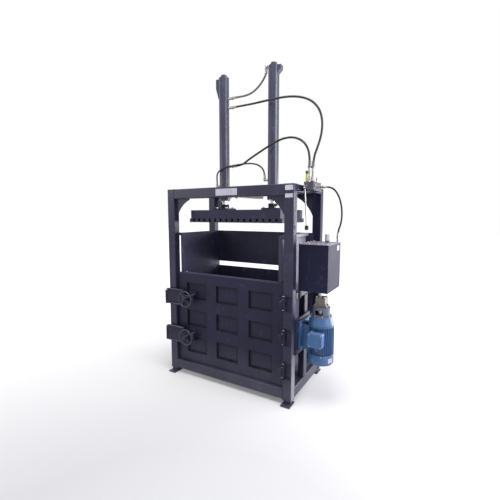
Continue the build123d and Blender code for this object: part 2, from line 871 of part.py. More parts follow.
# Latch arms: a flanged strap over the column, a neck, a spindle boss and a pivot trunnion
spindle_hole = spindle_radius + running_gap
for level, z in zip(("upper", "lower"), latch_heights):
    low = z - strap_height / 2
    high = z + strap_height / 2
    with BuildPart() as arm:
        bar((strap_left, strap_back_y - strap_web, low), (strap_right, strap_back_y, high))
        for flange_z in (low, high - strap_web):
            flange = (strap_left, strap_back_y - strap_flange, flange_z)
            bar(flange, (strap_right, strap_back_y, flange_z + strap_web))
        neck = (strap_right, strap_back_y - strap_web, z - neck_height / 2)
        bar(neck, (latch_pivot_x, strap_back_y, z + neck_height / 2))
        boss_front = strap_y - spindle_boss_length / 2
        rod((wheel_x, boss_front, z), (wheel_x, boss_front + spindle_boss_length, z), spindle_boss_radius)
        knuckle_low = (latch_pivot_x, strap_y, z - neck_height / 2)
        rod(knuckle_low, (latch_pivot_x, strap_y, z + neck_height / 2), latch_pivot_radius)
        pin_half = ear_gap + ear_thickness
        rod((latch_pivot_x, strap_y, z - pin_half), (latch_pivot_x, strap_y, z + pin_half), latch_pin_radius)
        bore_end = (wheel_x, door_front_y, z)
        rod((wheel_x, wheel_y, z), bore_end, spindle_hole, mode=Mode.SUBTRACT)
    save(arm.part, f"{level}_latch_arm")

# Latch handwheels, each keyed on its clamping spindle
for level, z in zip(("upper", "lower"), latch_heights):
    hub_front = wheel_y - wheel_hub_length / 2
    hub_back = wheel_y + wheel_hub_length / 2
    with BuildPart() as wheel:
        with BuildSketch(Plane(origin=(wheel_x, wheel_y, z), x_dir=(1, 0, 0), z_dir=(0, 0, 1))) as rim:
            with Locations((wheel_radius, 0)):
                Circle(wheel_rim)
        revolve(rim.sketch, axis=Axis((wheel_x, wheel_y, z), (0, 1, 0)))
        for spoke in range(wheel_spokes):
            angle = math.radians(360 / wheel_spokes * (spoke + 0.5))
            spoke_x = wheel_x + wheel_radius * math.cos(angle)
            spoke_end = (spoke_x, wheel_y, z + wheel_radius * math.sin(angle))
            rod((wheel_x, wheel_y, z), spoke_end, wheel_spoke_radius)
        rod((wheel_x, hub_front, z), (wheel_x, hub_back, z), wheel_hub_radius)
        rod((wheel_x, hub_front, z), (wheel_x, hub_back, z), spindle_hole, mode=Mode.SUBTRACT)
    with BuildPart() as spindle:
        spindle_end = (wheel_x, door_front_y - ear_pad - spindle_gap, z)
        rod((wheel_x, hub_front - spindle_nose, z), spindle_end, spindle_radius)
    wheel_group = Compound(children=[wheel.part, spindle.part])
    save(wheel_group, f"{level}_latch_wheel")

# Pressing plate: top sheet, four skirts and two inner ribs
skirt_x = platen_half_width - platen_end_inset
with BuildPart() as platen_plate:
    bar((-skirt_x, platen_front_y, skirt_bottom), (skirt_x, platen_back_y, platen_top))
    hollow = (-skirt_x + platen_sheet, platen_front_y + platen_sheet, skirt_bottom)
    hollow_end = (skirt_x - platen_sheet, platen_back_y - platen_sheet, platen_top - platen_sheet)
    bar(hollow, hollow_end, mode=Mode.SUBTRACT)
    for step in sides:
        rib_y = cylinder_y + step * platen_rib_offset - platen_sheet / 2
        rib = (-skirt_x + platen_sheet, rib_y, skirt_bottom)
        bar(rib, (skirt_x - platen_sheet, rib_y + platen_sheet, platen_top - platen_sheet))
    flange_bolt_y = flange_bolt_pitch / 2
    for x_side in sides:
        with Locations((x_side * cylinder_x, cylinder_y, platen_top - platen_sheet / 2)):
            with GridLocations(flange_bolt_pitch, flange_bolt_pitch, 2, 2):
                Cylinder(flange_bolt_radius + bolt_play, platen_sheet, mode=Mode.SUBTRACT)
save(platen_plate.part, "platen_plate")

# Bars under the pressing plate, with strapping slots between them
with BuildPart() as platen_bars:
    bar_pitch = (2 * platen_half_width - bar_width) / (bar_count - 1)
    for number in range(bar_count):
        left = -platen_half_width + number * bar_pitch
        bar((left, platen_front_y, platen_bottom), (left + bar_width, platen_back_y, skirt_bottom))
save(platen_bars.part, "platen_bars")

# Flanges that hold the rods to the pressing plate
with BuildPart() as rod_flanges:
    for x_side in sides:
        x = x_side * cylinder_x
        half = flange_size / 2
        base_top = platen_top + flange_base
        bar((x - half, cylinder_y - half, platen_top), (x + half, cylinder_y + half, base_top))
        hub_top = base_top + flange_hub_height
        rod((x, cylinder_y, base_top), (x, cylinder_y, hub_top), flange_hub_radius)
        socket = rod_radius + running_gap
        rod((x, cylinder_y, rod_bottom), (x, cylinder_y, hub_top), socket, mode=Mode.SUBTRACT)
        with Locations((x, cylinder_y, platen_top + flange_base / 2)):
            with GridLocations(flange_bolt_pitch, flange_bolt_pitch, 2, 2):
                Cylinder(flange_bolt_radius + bolt_play, flange_base, mode=Mode.SUBTRACT)
save(rod_flanges.part, "rod_flanges")

# Bolts through the rod flanges
with BuildPart() as rod_flange_bolts:
    for x_side in sides:
        for a in sides:
            for b in sides:
                bolt_x = x_side * cylinder_x + a * flange_bolt_y
                seat = (bolt_x, cylinder_y + b * flange_bolt_y, platen_top + flange_base)
                hex_bolt(seat, (0, 0, -1), flange_bolt_radius, flange_base + platen_sheet)
save(rod_flange_bolts.part, "rod_flange_bolts")

# Piston rods, turned down at the top for the piston
piston_bottom = piston_top - piston_height
with BuildPart() as piston_rods:
    for x_side in sides:
        x = x_side * cylinder_x
        rod((x, cylinder_y, rod_bottom), (x, cylinder_y, piston_bottom), rod_radius)
        rod((x, cylinder_y, piston_bottom), (x, cylinder_y, piston_top), rod_end_radius)
save(piston_rods.part, "piston_rods")

# Pistons, screwed on the rod ends
with BuildPart() as pistons:
    for x_side in sides:
        x = x_side * cylinder_x
        bottom = (x, cylinder_y, piston_bottom)
        top = (x, cylinder_y, piston_top)
        rod(bottom, top, bore_radius - running_gap)
        rod(bottom, top, rod_end_radius + running_gap, mode=Mode.SUBTRACT)
save(pistons.part, "pistons")

# Cylinder barrels with welded top caps and outward port blocks
for side_name, x_side, block_height, block_taper in (
    ("left", -1, left_block_height, left_block_taper),
    ("right", 1, right_block_height, right_block_taper),
):
    x = x_side * cylinder_x
    block_x = x + x_side * (barrel_radius + port_block_reach)
    block_top = barrel_top - port_block_drop
    with BuildPart() as barrel:
        rod((x, cylinder_y, mount_top), (x, cylinder_y, barrel_top), barrel_radius)
        rod((x, cylinder_y, barrel_top), (x, cylinder_y, barrel_top + barrel_boss_height), barrel_boss_radius)
        with BuildSketch(Plane(origin=(0, cylinder_y, 0), x_dir=(1, 0, 0), z_dir=(0, -1, 0))) as block:
            with BuildLine() as block_edge:
                Polyline(
                    (x, block_top),
                    (block_x, block_top),
                    (block_x, block_top - block_height + block_taper),
                    (x + x_side * barrel_radius, block_top - block_height),
                    (x, block_top - block_height),
                    close=True,
                )
            make_face(block_edge.line)
        extrude(block.sketch, amount=port_block_half_depth, both=True)
        chamber_top = (x, cylinder_y, barrel_top - barrel_cap)
        rod((x, cylinder_y, mount_top), chamber_top, bore_radius, mode=Mode.SUBTRACT)
    save(barrel.part, f"{side_name}_cylinder_barrel")

# Glands that close the barrels round the rods
with BuildPart() as cylinder_glands:
    for x_side in sides:
        x = x_side * cylinder_x
        low = (x, cylinder_y, mount_bottom - gland_height)
        spigot_top = (x, cylinder_y, mount_bottom + gland_spigot)
        rod(low, (x, cylinder_y, mount_bottom), gland_radius)
        rod((x, cylinder_y, mount_bottom), spigot_top, bore_radius - running_gap)
        rod(low, spigot_top, rod_radius + running_gap, mode=Mode.SUBTRACT)
save(cylinder_glands.part, "cylinder_glands")

# Plates that bolt the cylinders to their bearers
with BuildPart() as cylinder_mount_plates:
    for x_side in sides:
        x = x_side * cylinder_x
        half = mount_plate_size / 2
        bar((x - half, cylinder_y - half, mount_bottom), (x + half, cylinder_y + half, mount_top))
        rod((x, cylinder_y, mount_bottom), (x, cylinder_y, mount_top), bore_radius, mode=Mode.SUBTRACT)
    for x, y in bolt_places:
        rod((x, y, mount_bottom), (x, y, mount_top), mount_bolt_radius + bolt_play, mode=Mode.SUBTRACT)
save(cylinder_mount_plates.part, "cylinder_mount_plates")

# Bolts of the mount plates and of the motor foot
foot_bolt_places = [
    (motor_y + a * (motor_foot_width / 2 - foot_bolt_inset), motor_foot_bottom + foot_bolt_inset + b)
    for a in sides
    for b in (0, motor_foot_height - 2 * foot_bolt_inset)
]
with BuildPart() as frame_bolts:
    for x, y in bolt_places:
        hex_bolt((x, y, mount_bottom), (0, 0, 1), mount_bolt_radius, bolt_reach)
    for y, z in foot_bolt_places:
        hex_bolt((motor_foot_x, y, z), (-1, 0, 0), foot_bolt_radius, motor_foot + motor_plate)
save(frame_bolts.part, "frame_bolts")

# Oil tank with its two brackets on the side rail
with BuildPart() as oil_tank:
    tank_back_y = tank_front_y + tank_length
    bar((tank_left, tank_front_y, tank_bottom), (tank_right, tank_back_y, tank_top))
    inside = (tank_left + tank_sheet, tank_front_y + tank_sheet, tank_bottom + tank_sheet)
    inside_end = (tank_right - tank_sheet, tank_back_y - tank_sheet, tank_top)
    bar(inside, inside_end, mode=Mode.SUBTRACT)
with BuildPart() as tank_brackets:
    for y in (tank_front_y + bracket_inset, tank_back_y - bracket_inset - bracket_width):
        leg_top = (half_width + bracket_thickness, y + bracket_width, tank_bottom)
        bar((half_width, y, side_rail_bottom), leg_top)
        shelf_end = (tank_left + bracket_reach, y + bracket_width, tank_bottom)
        bar((half_width, y, tank_bottom - bracket_thickness), shelf_end)
save(Compound(children=[oil_tank.part, tank_brackets.part]), "oil_tank")

# Tank lid with the filler neck
with BuildPart() as tank_lid:
    lid_start = (tank_left - lid_lip, tank_front_y - lid_lip, tank_top)
    bar(lid_start, (tank_right + lid_lip, tank_back_y + lid_lip, lid_top))
    rod((filler_x, filler_y, lid_top), (filler_x, filler_y, lid_top + neck_rise), neck_radius)
    neck_top = (filler_x, filler_y, lid_top + neck_rise)
    rod((filler_x, filler_y, tank_top), neck_top, neck_bore, mode=Mode.SUBTRACT)
save(tank_lid.part, "tank_lid")

# Breather cap with finger ribs and a plug that fits the neck
with BuildPart() as filler_cap:
    cap_bottom = lid_top + neck_rise
    plug_low = (filler_x, filler_y, cap_bottom - neck_depth)
    rod(plug_low, (filler_x, filler_y, cap_bottom), neck_bore - running_gap)
    with BuildSketch(Plane((filler_x, filler_y, cap_bottom))):
        Circle(cap_radius)
        with PolarLocations(cap_radius, cap_ribs):
            Circle(cap_radius / cap_ribs, mode=Mode.SUBTRACT)
    extrude(amount=cap_height)
    cap_top = (filler_x, filler_y, cap_bottom + cap_height)
    crown_top = (filler_x, filler_y, cap_bottom + cap_height + cap_crown)
    rod(cap_top, crown_top, cap_radius - cap_crown)
save(filler_cap.part, "filler_cap")

# Shelf under the control valve, tucked beneath the side rail
with BuildPart() as valve_shelf:
    shelf_left = half_width - top_rail_width
    shelf_start = (shelf_left, shelf_front_y, shelf_top - shelf_thickness)
    bar(shelf_start, (half_width + shelf_reach, shelf_back_y, shelf_top))
save(valve_shelf.part, "valve_shelf")

# Valve body with the spool bore, the ears of the lever and two plugs on top
spool_bore_end = valve_back_y - spool_end_wall
ear_half = lever_width / 2 + lever_ear_gap
with BuildPart() as valve_body:
    bar((valve_left, valve_front_y, shelf_top), (valve_right, valve_back_y, valve_top))
    for step in sides:
        ear_x = spool_x + step * ear_half
        ear_end_x = spool_x + step * (ear_half + lever_ear)
        ear_base = (ear_x, lever_pivot_y, lever_pivot_z - lever_boss_radius)
        bar(ear_base, (ear_end_x, valve_front_y, lever_pivot_z + lever_boss_radius))
        pivot = (ear_x, lever_pivot_y, lever_pivot_z)
        pivot_end = (ear_end_x, lever_pivot_y, lever_pivot_z)
        rod(pivot, pivot_end, lever_boss_radius)
        rod(pivot, pivot_end, lever_trunnion_radius + running_gap, mode=Mode.SUBTRACT)
    for place, size in ((front_plug_place, front_plug_size), (rear_plug_place, rear_plug_size)):
        plug = (valve_left + place[0], valve_front_y + place[1], valve_top)
        rod(plug, (plug[0], plug[1], valve_top + size[1]), size[0])
    bore_start = (spool_x, valve_front_y, spool_z)
    rod(bore_start, (spool_x, spool_bore_end, spool_z), spool_radius + running_gap, mode=Mode.SUBTRACT)
save(valve_body.part, "valve_body")

# Spool with a slotted tongue for the lever pin
with BuildPart() as valve_spool:
    spool_back = (spool_x, spool_bore_end - spool_end_play, spool_z)
    rod((spool_x, valve_front_y, spool_z), spool_back, spool_radius)
    tongue_half = tongue_thickness / 2
    tongue = (spool_x - tongue_half, valve_front_y - tongue_length, spool_z - tongue_height / 2)
    bar(tongue, (spool_x + tongue_half, valve_front_y, spool_z + tongue_height / 2))
    with Locations((spool_x, lever_pivot_y, spool_z)):
        Box(tongue_thickness, slot_width, slot_length, mode=Mode.SUBTRACT)
save(valve_spool.part, "valve_spool")

# Hand lever: two cheeks with the drive pin, a pivot boss with trunnions, and the rod
with BuildPart() as valve_lever:
    lever_half = lever_width / 2
    boss_start = (spool_x - lever_half, lever_pivot_y, lever_pivot_z)
    boss_end = (spool_x + lever_half, lever_pivot_y, lever_pivot_z)
    rod(boss_start, boss_end, lever_boss_radius)
    trunnion_half = ear_half + lever_ear
    trunnion_start = (spool_x - trunnion_half, lever_pivot_y, lever_pivot_z)
    rod(trunnion_start, (spool_x + trunnion_half, lever_pivot_y, lever_pivot_z), lever_trunnion_radius)
    cheek_half = lever_pin_radius * 2
    for step in sides:
        cheek_x = spool_x + step * lever_half
        cheek = (cheek_x, lever_pivot_y - cheek_half, lever_pivot_z)
        cheek_end = (cheek_x - step * lever_cheek, lever_pivot_y + cheek_half, spool_z + cheek_half)
        bar(cheek, cheek_end)
    pin_start = (spool_x - lever_half, lever_pivot_y, spool_z)
    rod(pin_start, (spool_x + lever_half, lever_pivot_y, spool_z), lever_pin_radius)
    knob_x = spool_x + lever_lean
    knob_top = lever_pivot_z - lever_length
    rod_end = (knob_x, lever_pivot_y, knob_top - lever_rod_radius)
    rod((spool_x, lever_pivot_y, lever_pivot_z), rod_end, lever_rod_radius)
    cut_low = (knob_x - knob_radius, lever_pivot_y - knob_radius, knob_top - knob_height)
    bar(cut_low, (knob_x + knob_radius, lever_pivot_y + knob_radius, knob_top), mode=Mode.SUBTRACT)
save(valve_lever.part, "valve_lever")

# Knob on the lever end
with BuildPart() as lever_knob:
    knob_bottom = (knob_x, lever_pivot_y, knob_top - knob_height)
    rod((knob_x, lever_pivot_y, knob_top), knob_bottom, knob_radius)
    fillet(lever_knob.edges().filter_by(GeomType.CIRCLE), radius=knob_radius / 2)
save(lever_knob.part, "lever_knob")

# Relief valve standing on the valve body, with its adjusting knob
with BuildPart() as relief_valve:
    relief_base = (relief_x, relief_y, valve_top)
    relief_top_z = valve_top + relief_height
    relief_top = (relief_x, relief_y, relief_top_z)
    rod(relief_base, relief_top, relief_radius)
    rod(relief_top, (relief_x, relief_y, relief_top_z + relief_knob_height), relief_knob_radius)
save(relief_valve.part, "relief_valve")

# Adaptors and ferrules at the hose ends, and the suction pipe
thick = hose_radius + ferrule_extra
slim = slim_hose_radius + ferrule_extra
suction_x = motor_x - suction_offset
with BuildPart() as hose_fittings:
    for port_end, far_x, radius in (
        (cap_link_route[0], -cylinder_x, thick),
        (cap_supply_route[-1], -cylinder_x, thick),
        (rod_supply_route[-1], -cylinder_x, thick),
    ):
        rod(port_end, (far_x, cylinder_y, port_end[2]), radius)
    for hose_end, rise, far_x, radius in (
        (cap_link_route[-1], 1, cylinder_x, thick),
        (rod_link_route[0], -1, -cylinder_x, slim),
        (rod_link_route[-1], -1, cylinder_x, slim),
    ):
        elbow_x, elbow_y, start_z = hose_end
        elbow_z = start_z + rise * elbow_reach * radius
        rod(hose_end, (elbow_x, elbow_y, elbow_z), radius)
        with Locations((elbow_x, elbow_y, elbow_z)):
            Sphere(radius)
        rod((elbow_x, elbow_y, elbow_z), (far_x, elbow_y, elbow_z), radius)
    for x_side in sides:
        x = x_side * cylinder_x
        barrel_axis_top = (x, cylinder_y, barrel_top)
        boss_top = (x, cylinder_y, barrel_top + barrel_boss_height)
        rod((x, cylinder_y, mount_top), barrel_axis_top, barrel_radius, mode=Mode.SUBTRACT)
        rod(barrel_axis_top, boss_top, barrel_boss_radius, mode=Mode.SUBTRACT)
    for hose_end in (cap_supply_route[0], rod_supply_route[0]):
        rod((hose_end[0], hose_end[1], valve_top), hose_end, thick)
    inlet_x = valve_right - 2 * slim
    inlet_y = valve_back_y - 4 * slim
    inlet = (inlet_x, inlet_y, valve_top)
    rod(inlet, (inlet_x, inlet_y, valve_top + 4 * slim), slim)
    rod((valve_right, return_start[1], return_start[2]), return_start, slim)
    rod((return_end[0], return_end[1], lid_top), return_end, slim)
    rod((suction_x, motor_y, pump_top), (suction_x, motor_y, tank_bottom), suction_radius)
save(hose_fittings.part, "hose_fittings")

# Gear pump on top of the bell housing
with BuildPart() as hydraulic_pump:
    flange_half = pump_flange_width / 2
    pump_half = pump_width / 2
    pump_low = (motor_x - flange_half, motor_y - pump_half, bell_top)
    bar(pump_low, (motor_x + flange_half, motor_y + pump_half, bell_top + pump_flange))
    pump_base = (motor_x - pump_half, motor_y - pump_half, bell_top + pump_flange)
    bar(pump_base, (motor_x + pump_half, motor_y + pump_half, pump_top))
    shaft_hole = pump_shaft_radius + running_gap
    shaft_hole_top = (motor_x, motor_y, bell_top + pump_shaft_depth)
    rod((motor_x, motor_y, bell_top), shaft_hole_top, shaft_hole, mode=Mode.SUBTRACT)
save(hydraulic_pump.part, "hydraulic_pump")

# Bell housing between motor and pump, with a window at the coupling
with BuildPart() as bell_housing:
    bell_base = (motor_x, motor_y, motor_top)
    bell_end = (motor_x, motor_y, bell_top)
    rod(bell_base, (motor_x, motor_y, motor_top + bell_flange), bell_flange_radius)
    rod(bell_base, bell_end, bell_radius)
    bell_inside = (motor_x, motor_y, bell_top - bell_sheet)
    rod(bell_base, bell_inside, bell_radius - bell_sheet, mode=Mode.SUBTRACT)
    rod(bell_inside, bell_end, pump_shaft_radius + bell_sheet, mode=Mode.SUBTRACT)
    with Locations((motor_x, motor_y - bell_radius, motor_top + bell_height / 2)):
        Box(bell_window_width, bell_radius, bell_window_height, mode=Mode.SUBTRACT)
save(bell_housing.part, "bell_housing")

# Plate on the frame that carries the motor
with BuildPart() as motor_mount_plate:
    plate_low = (half_width, motor_plate_front_y, motor_plate_bottom)
    bar(plate_low, (motor_plate_x, motor_plate_back_y, motor_plate_bottom + motor_plate_height))
    for y, z in foot_bolt_places:
        hole = foot_bolt_radius + bolt_play
        rod((half_width, y, z), (motor_plate_x, y, z), hole, mode=Mode.SUBTRACT)
save(motor_mount_plate.part, "motor_mount_plate")

# Motor frame: finned shell, domed upper end shield, foot and inner cavity
with BuildPart() as motor_body:
    with BuildSketch(Plane((motor_x, motor_y, fan_cover_top))):
        Circle(motor_core_radius)
        with PolarLocations(motor_core_radius, motor_fins):
            fin_reach = 2 * (motor_fin_radius - motor_core_radius)
            Rectangle(fin_reach, motor_fin_width)
    extrude(amount=shield_bottom - fan_cover_top)
    with BuildSketch(Plane(origin=(motor_x, motor_y, 0), x_dir=(1, 0, 0), z_dir=(0, -1, 0))) as shield:
        with BuildLine() as shield_edge:
            rim_z = shield_bottom + end_shield_height / 4
            Polyline((0, shield_bottom), (motor_fin_radius, shield_bottom), (motor_fin_radius, rim_z))
            dome = (bell_flange_radius, motor_top)
            Line((motor_fin_radius, rim_z), dome)
            Polyline(dome, (0, motor_top), (0, shield_bottom))
        make_face(shield_edge.line)
    revolve(shield.sketch, axis=Axis((motor_x, motor_y, 0), (0, 0, 1)))
    foot_start = (motor_plate_x, motor_y - motor_foot_width / 2, motor_foot_bottom)
    foot_end_y = motor_y + motor_foot_width / 2
    bar(foot_start, (motor_foot_x, foot_end_y, motor_foot_bottom + motor_foot_height))
    for step in sides:
        web_y = motor_y + step * motor_web_offset
        web = (motor_plate_x, web_y - motor_web / 2, motor_foot_bottom)
        web_end = (motor_x - motor_web_offset, web_y + motor_web / 2, shield_bottom)
        bar(web, web_end)
    for y, z in foot_bolt_places:
        hole = foot_bolt_radius + bolt_play
        rod((motor_plate_x, y, z), (motor_foot_x, y, z), hole, mode=Mode.SUBTRACT)
    cavity_low = (motor_x, motor_y, fan_cover_top + rotor_inset)
    cavity_high = (motor_x, motor_y, motor_top - 2 * rotor_inset)
    rod(cavity_low, cavity_high, rotor_radius + rotor_gap, mode=Mode.SUBTRACT)
    bearing = motor_shaft_radius + running_gap
    shaft_way = (motor_x, motor_y, fan_cover_top)
    rod(shaft_way, (motor_x, motor_y, motor_top), bearing, mode=Mode.SUBTRACT)
save(motor_body.part, "motor_body")

# Rotor, shaft and coupling, which turn as one
shaft_low_z = motor_bottom + fan_cover_sheet + fan_lift / 2
coupling_low_z = motor_top + (bell_height - bell_sheet - coupling_height) / 2
with BuildPart() as motor_shaft:
    rotor_low = (motor_x, motor_y, fan_cover_top + rotor_inset + motor_web / 2)
    rotor_high = (motor_x, motor_y, motor_top - 2 * rotor_inset - motor_web / 2)
    rod(rotor_low, rotor_high, rotor_radius)
    rod((motor_x, motor_y, shaft_low_z), (motor_x, motor_y, coupling_low_z), motor_shaft_radius)
    coupling_low = (motor_x, motor_y, coupling_low_z)
    coupling_high = (motor_x, motor_y, coupling_low_z + coupling_height)
    rod(coupling_low, coupling_high, coupling_radius)
    drive_end = (motor_x, motor_y, bell_top + pump_shaft_depth / 2)
    rod(coupling_high, drive_end, pump_shaft_radius)
save(motor_shaft.part, "motor_shaft")

# Cooling fan on the lower shaft end
with BuildPart() as motor_fan:
    fan_low_z = motor_bottom + fan_cover_sheet + fan_lift
    fan_low = (motor_x, motor_y, fan_low_z)
    fan_high = (motor_x, motor_y, fan_low_z + fan_height)
    rod((motor_x, motor_y, fan_low_z + fan_height - fan_blade_thickness), fan_high, fan_radius)
    rod(fan_low, fan_high, fan_hub_radius)
    with BuildSketch(Plane(fan_low)):
        blade_length = fan_radius - fan_hub_radius + fan_blade_thickness
        blade_radius = (fan_radius + fan_hub_radius - fan_blade_thickness) / 2
        with PolarLocations(blade_radius, fan_blades):
            Rectangle(blade_length, fan_blade_thickness)
    extrude(amount=fan_height)
    rod(fan_low, fan_high, motor_shaft_radius + running_gap, mode=Mode.SUBTRACT)
save(motor_fan.part, "motor_fan")

# Fan cover with a slotted end
with BuildPart() as fan_cover:
    rod((motor_x, motor_y, motor_bottom), (motor_x, motor_y, fan_cover_top), motor_fin_radius)
    fillet(fan_cover.edges().sort_by(Axis.Z)[0], radius=fan_cover_round)
    offset(amount=-fan_cover_sheet, openings=fan_cover.faces().sort_by(Axis.Z)[-1])
    with BuildSketch(Plane((motor_x, motor_y, motor_bottom - fan_cover_sheet))) as grille:
        for ring in range(grille_slots):
            slot_radius = fan_hub_radius + ring * grille_pitch
            Circle(slot_radius + grille_slot)
            Circle(slot_radius, mode=Mode.SUBTRACT)
        for angle in (0, 90):
            Rectangle(2 * motor_fin_radius, grille_slot, rotation=angle, mode=Mode.SUBTRACT)
    extrude(grille.sketch, amount=3 * fan_cover_sheet, mode=Mode.SUBTRACT)
save(fan_cover.part, "fan_cover")

# Terminal box and its lid on the motor front, with a cable gland below, closed by a blind plug
with BuildPart() as terminal_box:
    box_back_y = motor_y - motor_core_radius + terminal_corner
    box_front_y = motor_y - motor_fin_radius - terminal_depth
    box_centre_z = terminal_bottom + terminal_height / 2
    with BuildSketch(Plane(origin=(motor_x, box_back_y, box_centre_z), x_dir=(1, 0, 0), z_dir=(0, -1, 0))):
        RectangleRounded(terminal_width, terminal_height, terminal_corner)
    extrude(amount=box_back_y - box_front_y)
    box_bottom = (motor_x, motor_y, terminal_bottom)
    box_top = (motor_x, motor_y, terminal_bottom + terminal_height)
    rod(box_bottom, box_top, motor_fin_radius + running_gap, mode=Mode.SUBTRACT)
with BuildPart() as terminal_lid_plate:
    with BuildSketch(Plane(origin=(motor_x, box_front_y, box_centre_z), x_dir=(1, 0, 0), z_dir=(0, -1, 0))):
        RectangleRounded(terminal_width, terminal_height, terminal_corner)
    extrude(amount=terminal_lid)
    front_edges = terminal_lid_plate.faces().sort_by(Axis.Y)[0].edges()
    fillet(front_edges, radius=terminal_lid / 2)
with BuildPart() as cable_gland:
    gland_y = box_front_y + (motor_y - motor_fin_radius - box_front_y) / 2
    gland_seat = (motor_x, gland_y, terminal_bottom)
    collar_z = terminal_bottom - gland_body_height
    nut_z = collar_z - gland_nut_height
    rod(gland_seat, (motor_x, gland_y, collar_z), gland_body_radius)
    with BuildSketch(Plane((motor_x, gland_y, nut_z))):
        RegularPolygon(gland_nut_width / 2, 6, major_radius=False)
    extrude(amount=gland_nut_height)
    rod((motor_x, gland_y, nut_z), (motor_x, gland_y, nut_z - gland_plug_height), gland_plug_radius)
terminal_group = Compound(children=[terminal_box.part, terminal_lid_plate.part, cable_gland.part])
save(terminal_group, "terminal_box")

# Blank plates: one on the front beam, two on the right column, one on the tank
with BuildPart() as blank_plates:
    plate_y = -half_depth - plate_thickness
    plate_z = frame_height - beam_height / 2
    name_low = (name_plate_x - name_plate_width / 2, plate_y, plate_z - name_plate_height / 2)
    bar(name_low, (name_plate_x + name_plate_width / 2, -half_depth, plate_z + name_plate_height / 2))
    for height, drop in zip(label_heights, label_drops):
        label_z = frame_height - drop
        label_low = (column_x - label_width / 2, plate_y, label_z - height / 2)
        bar(label_low, (column_x + label_width / 2, -half_depth, label_z + height / 2))
    tank_label_y = tank_back_y - tank_label_inset - tank_label_width
    tank_label_z = tank_top - tank_label_inset / 2 - tank_label_height
    tank_label_low = (tank_right, tank_label_y, tank_label_z)
    tank_label_high = (
        tank_right + plate_thickness,
        tank_label_y + tank_label_width,
        tank_label_z + tank_label_height,
    )
    bar(tank_label_low, tank_label_high)
save(blank_plates.part, "blank_plates")


def bend_radii(points):
    """Radius of the arc at each inner point, from its shorter run and its turn."""
    corners = [Vector(*point) for point in points]
    radii = []
    for before, here, after in zip(corners, corners[1:], corners[2:]):
        arriving = here - before
        leaving = after - here
        half_turn = math.radians(arriving.get_angle(leaving)) / 2
        shorter = min(arriving.length, leaving.length)
        radii.append(hose_slack * shorter / math.tan(half_turn))
    return radii


def hose(label, points, radius):
    """Hose along straight runs joined by tangent arcs."""
    radii = bend_radii(points)
    with BuildPart() as tube:
        with BuildLine() as path:
            FilletPolyline(*points, radius=radii)
        first_run = Vector(*points[1]) - Vector(*points[0])
        with BuildSketch(Plane(origin=points[0], z_dir=first_run)):
            Circle(radius)
        sweep(path=path.line)
    length = path.wires()[0].length
    share = tube.part.volume / (math.pi * radius**2 * length)
    print(label, "length", round(length), "radii", [round(r) for r in radii], "fill", round(share, 4))
    save(tube.part, label)


hose("cap_link_hose", cap_link_route, hose_radius)
hose("cap_supply_hose", cap_supply_route, hose_radius)
hose("rod_supply_hose", rod_supply_route, hose_radius)
hose("rod_link_hose", rod_link_route, slim_hose_radius)
hose("return_hose", return_route, slim_hose_radius)
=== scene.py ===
# %% [markdown]
# # Dressing a recycling baler
# The baler arrives as finished solids: frame, door, press and hydraulic unit. This lesson adds
# what makes them look real: sprayed paint with scuffs and dust, machined steel, rubber hoses,
# weld beads, screws and crimped sleeves. Every step starts with a note on what the real piece
# is like and how it is made here.

# %% Load the machine
import json
import math

import bpy
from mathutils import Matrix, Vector


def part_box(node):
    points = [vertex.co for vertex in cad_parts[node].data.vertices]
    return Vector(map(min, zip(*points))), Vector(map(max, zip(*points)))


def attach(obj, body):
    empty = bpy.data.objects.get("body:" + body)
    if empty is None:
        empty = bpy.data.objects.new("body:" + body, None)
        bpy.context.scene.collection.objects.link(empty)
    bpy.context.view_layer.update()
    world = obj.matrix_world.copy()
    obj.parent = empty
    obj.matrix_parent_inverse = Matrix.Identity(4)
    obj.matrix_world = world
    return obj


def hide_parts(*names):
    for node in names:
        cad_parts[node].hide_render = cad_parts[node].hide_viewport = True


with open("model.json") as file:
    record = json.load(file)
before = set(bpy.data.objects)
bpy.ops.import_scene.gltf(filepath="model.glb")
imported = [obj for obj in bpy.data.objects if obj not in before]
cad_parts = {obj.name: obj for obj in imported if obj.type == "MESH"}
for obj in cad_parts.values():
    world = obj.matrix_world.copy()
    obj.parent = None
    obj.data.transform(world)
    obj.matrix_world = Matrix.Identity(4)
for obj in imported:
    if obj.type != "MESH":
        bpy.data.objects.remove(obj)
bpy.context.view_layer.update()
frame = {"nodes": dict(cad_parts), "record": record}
nodes = frame["nodes"]
scene = bpy.context.scene

# %% [markdown]
# ## The camera
# The picture is square and was taken at eye height from the right front corner. A camera could
# be placed by eye, but matching the frame's corners gives its place, its turn and its lens
# directly, so those numbers are used.

# %% Camera
SENSOR = 36.0
PHOTO_PIXELS = 500
FOCAL_PIXELS = 329.73
CAMERA_PLACE = (1.8256, -3.0270, 1.7287)
CAMERA_YAW = 30.236
CAMERA_PITCH = -5.996
camera_data = bpy.data.cameras.new("photo_camera")
camera_data.sensor_width = SENSOR
camera_data.lens = FOCAL_PIXELS * SENSOR / PHOTO_PIXELS
camera = bpy.data.objects.new("photo_camera", camera_data)
camera.location = CAMERA_PLACE
camera.rotation_euler = (math.radians(90 + CAMERA_PITCH), 0, math.radians(CAMERA_YAW))
scene.collection.objects.link(camera)
scene.camera = camera
print("lens in millimetres:", round(camera_data.lens, 2))

# %% [markdown]
# ## Building node trees by hand
# Shader trees and geometry trees are both lists of nodes and links. A small helper that makes a
# node, sets its options and connects its inputs keeps each tree as short as a recipe.


# %% Node helpers
def add(tree, kind, inputs=None, **options):
    """Make a node; inputs maps a socket's name or number to a value or to another socket."""
    node = tree.nodes.new(kind)
    for name, value in options.items():
        setattr(node, name, value)
    for key, value in (inputs or {}).items():
        if isinstance(value, bpy.types.NodeSocket):
            tree.links.new(value, node.inputs[key])
        else:
            node.inputs[key].default_value = value
    return node


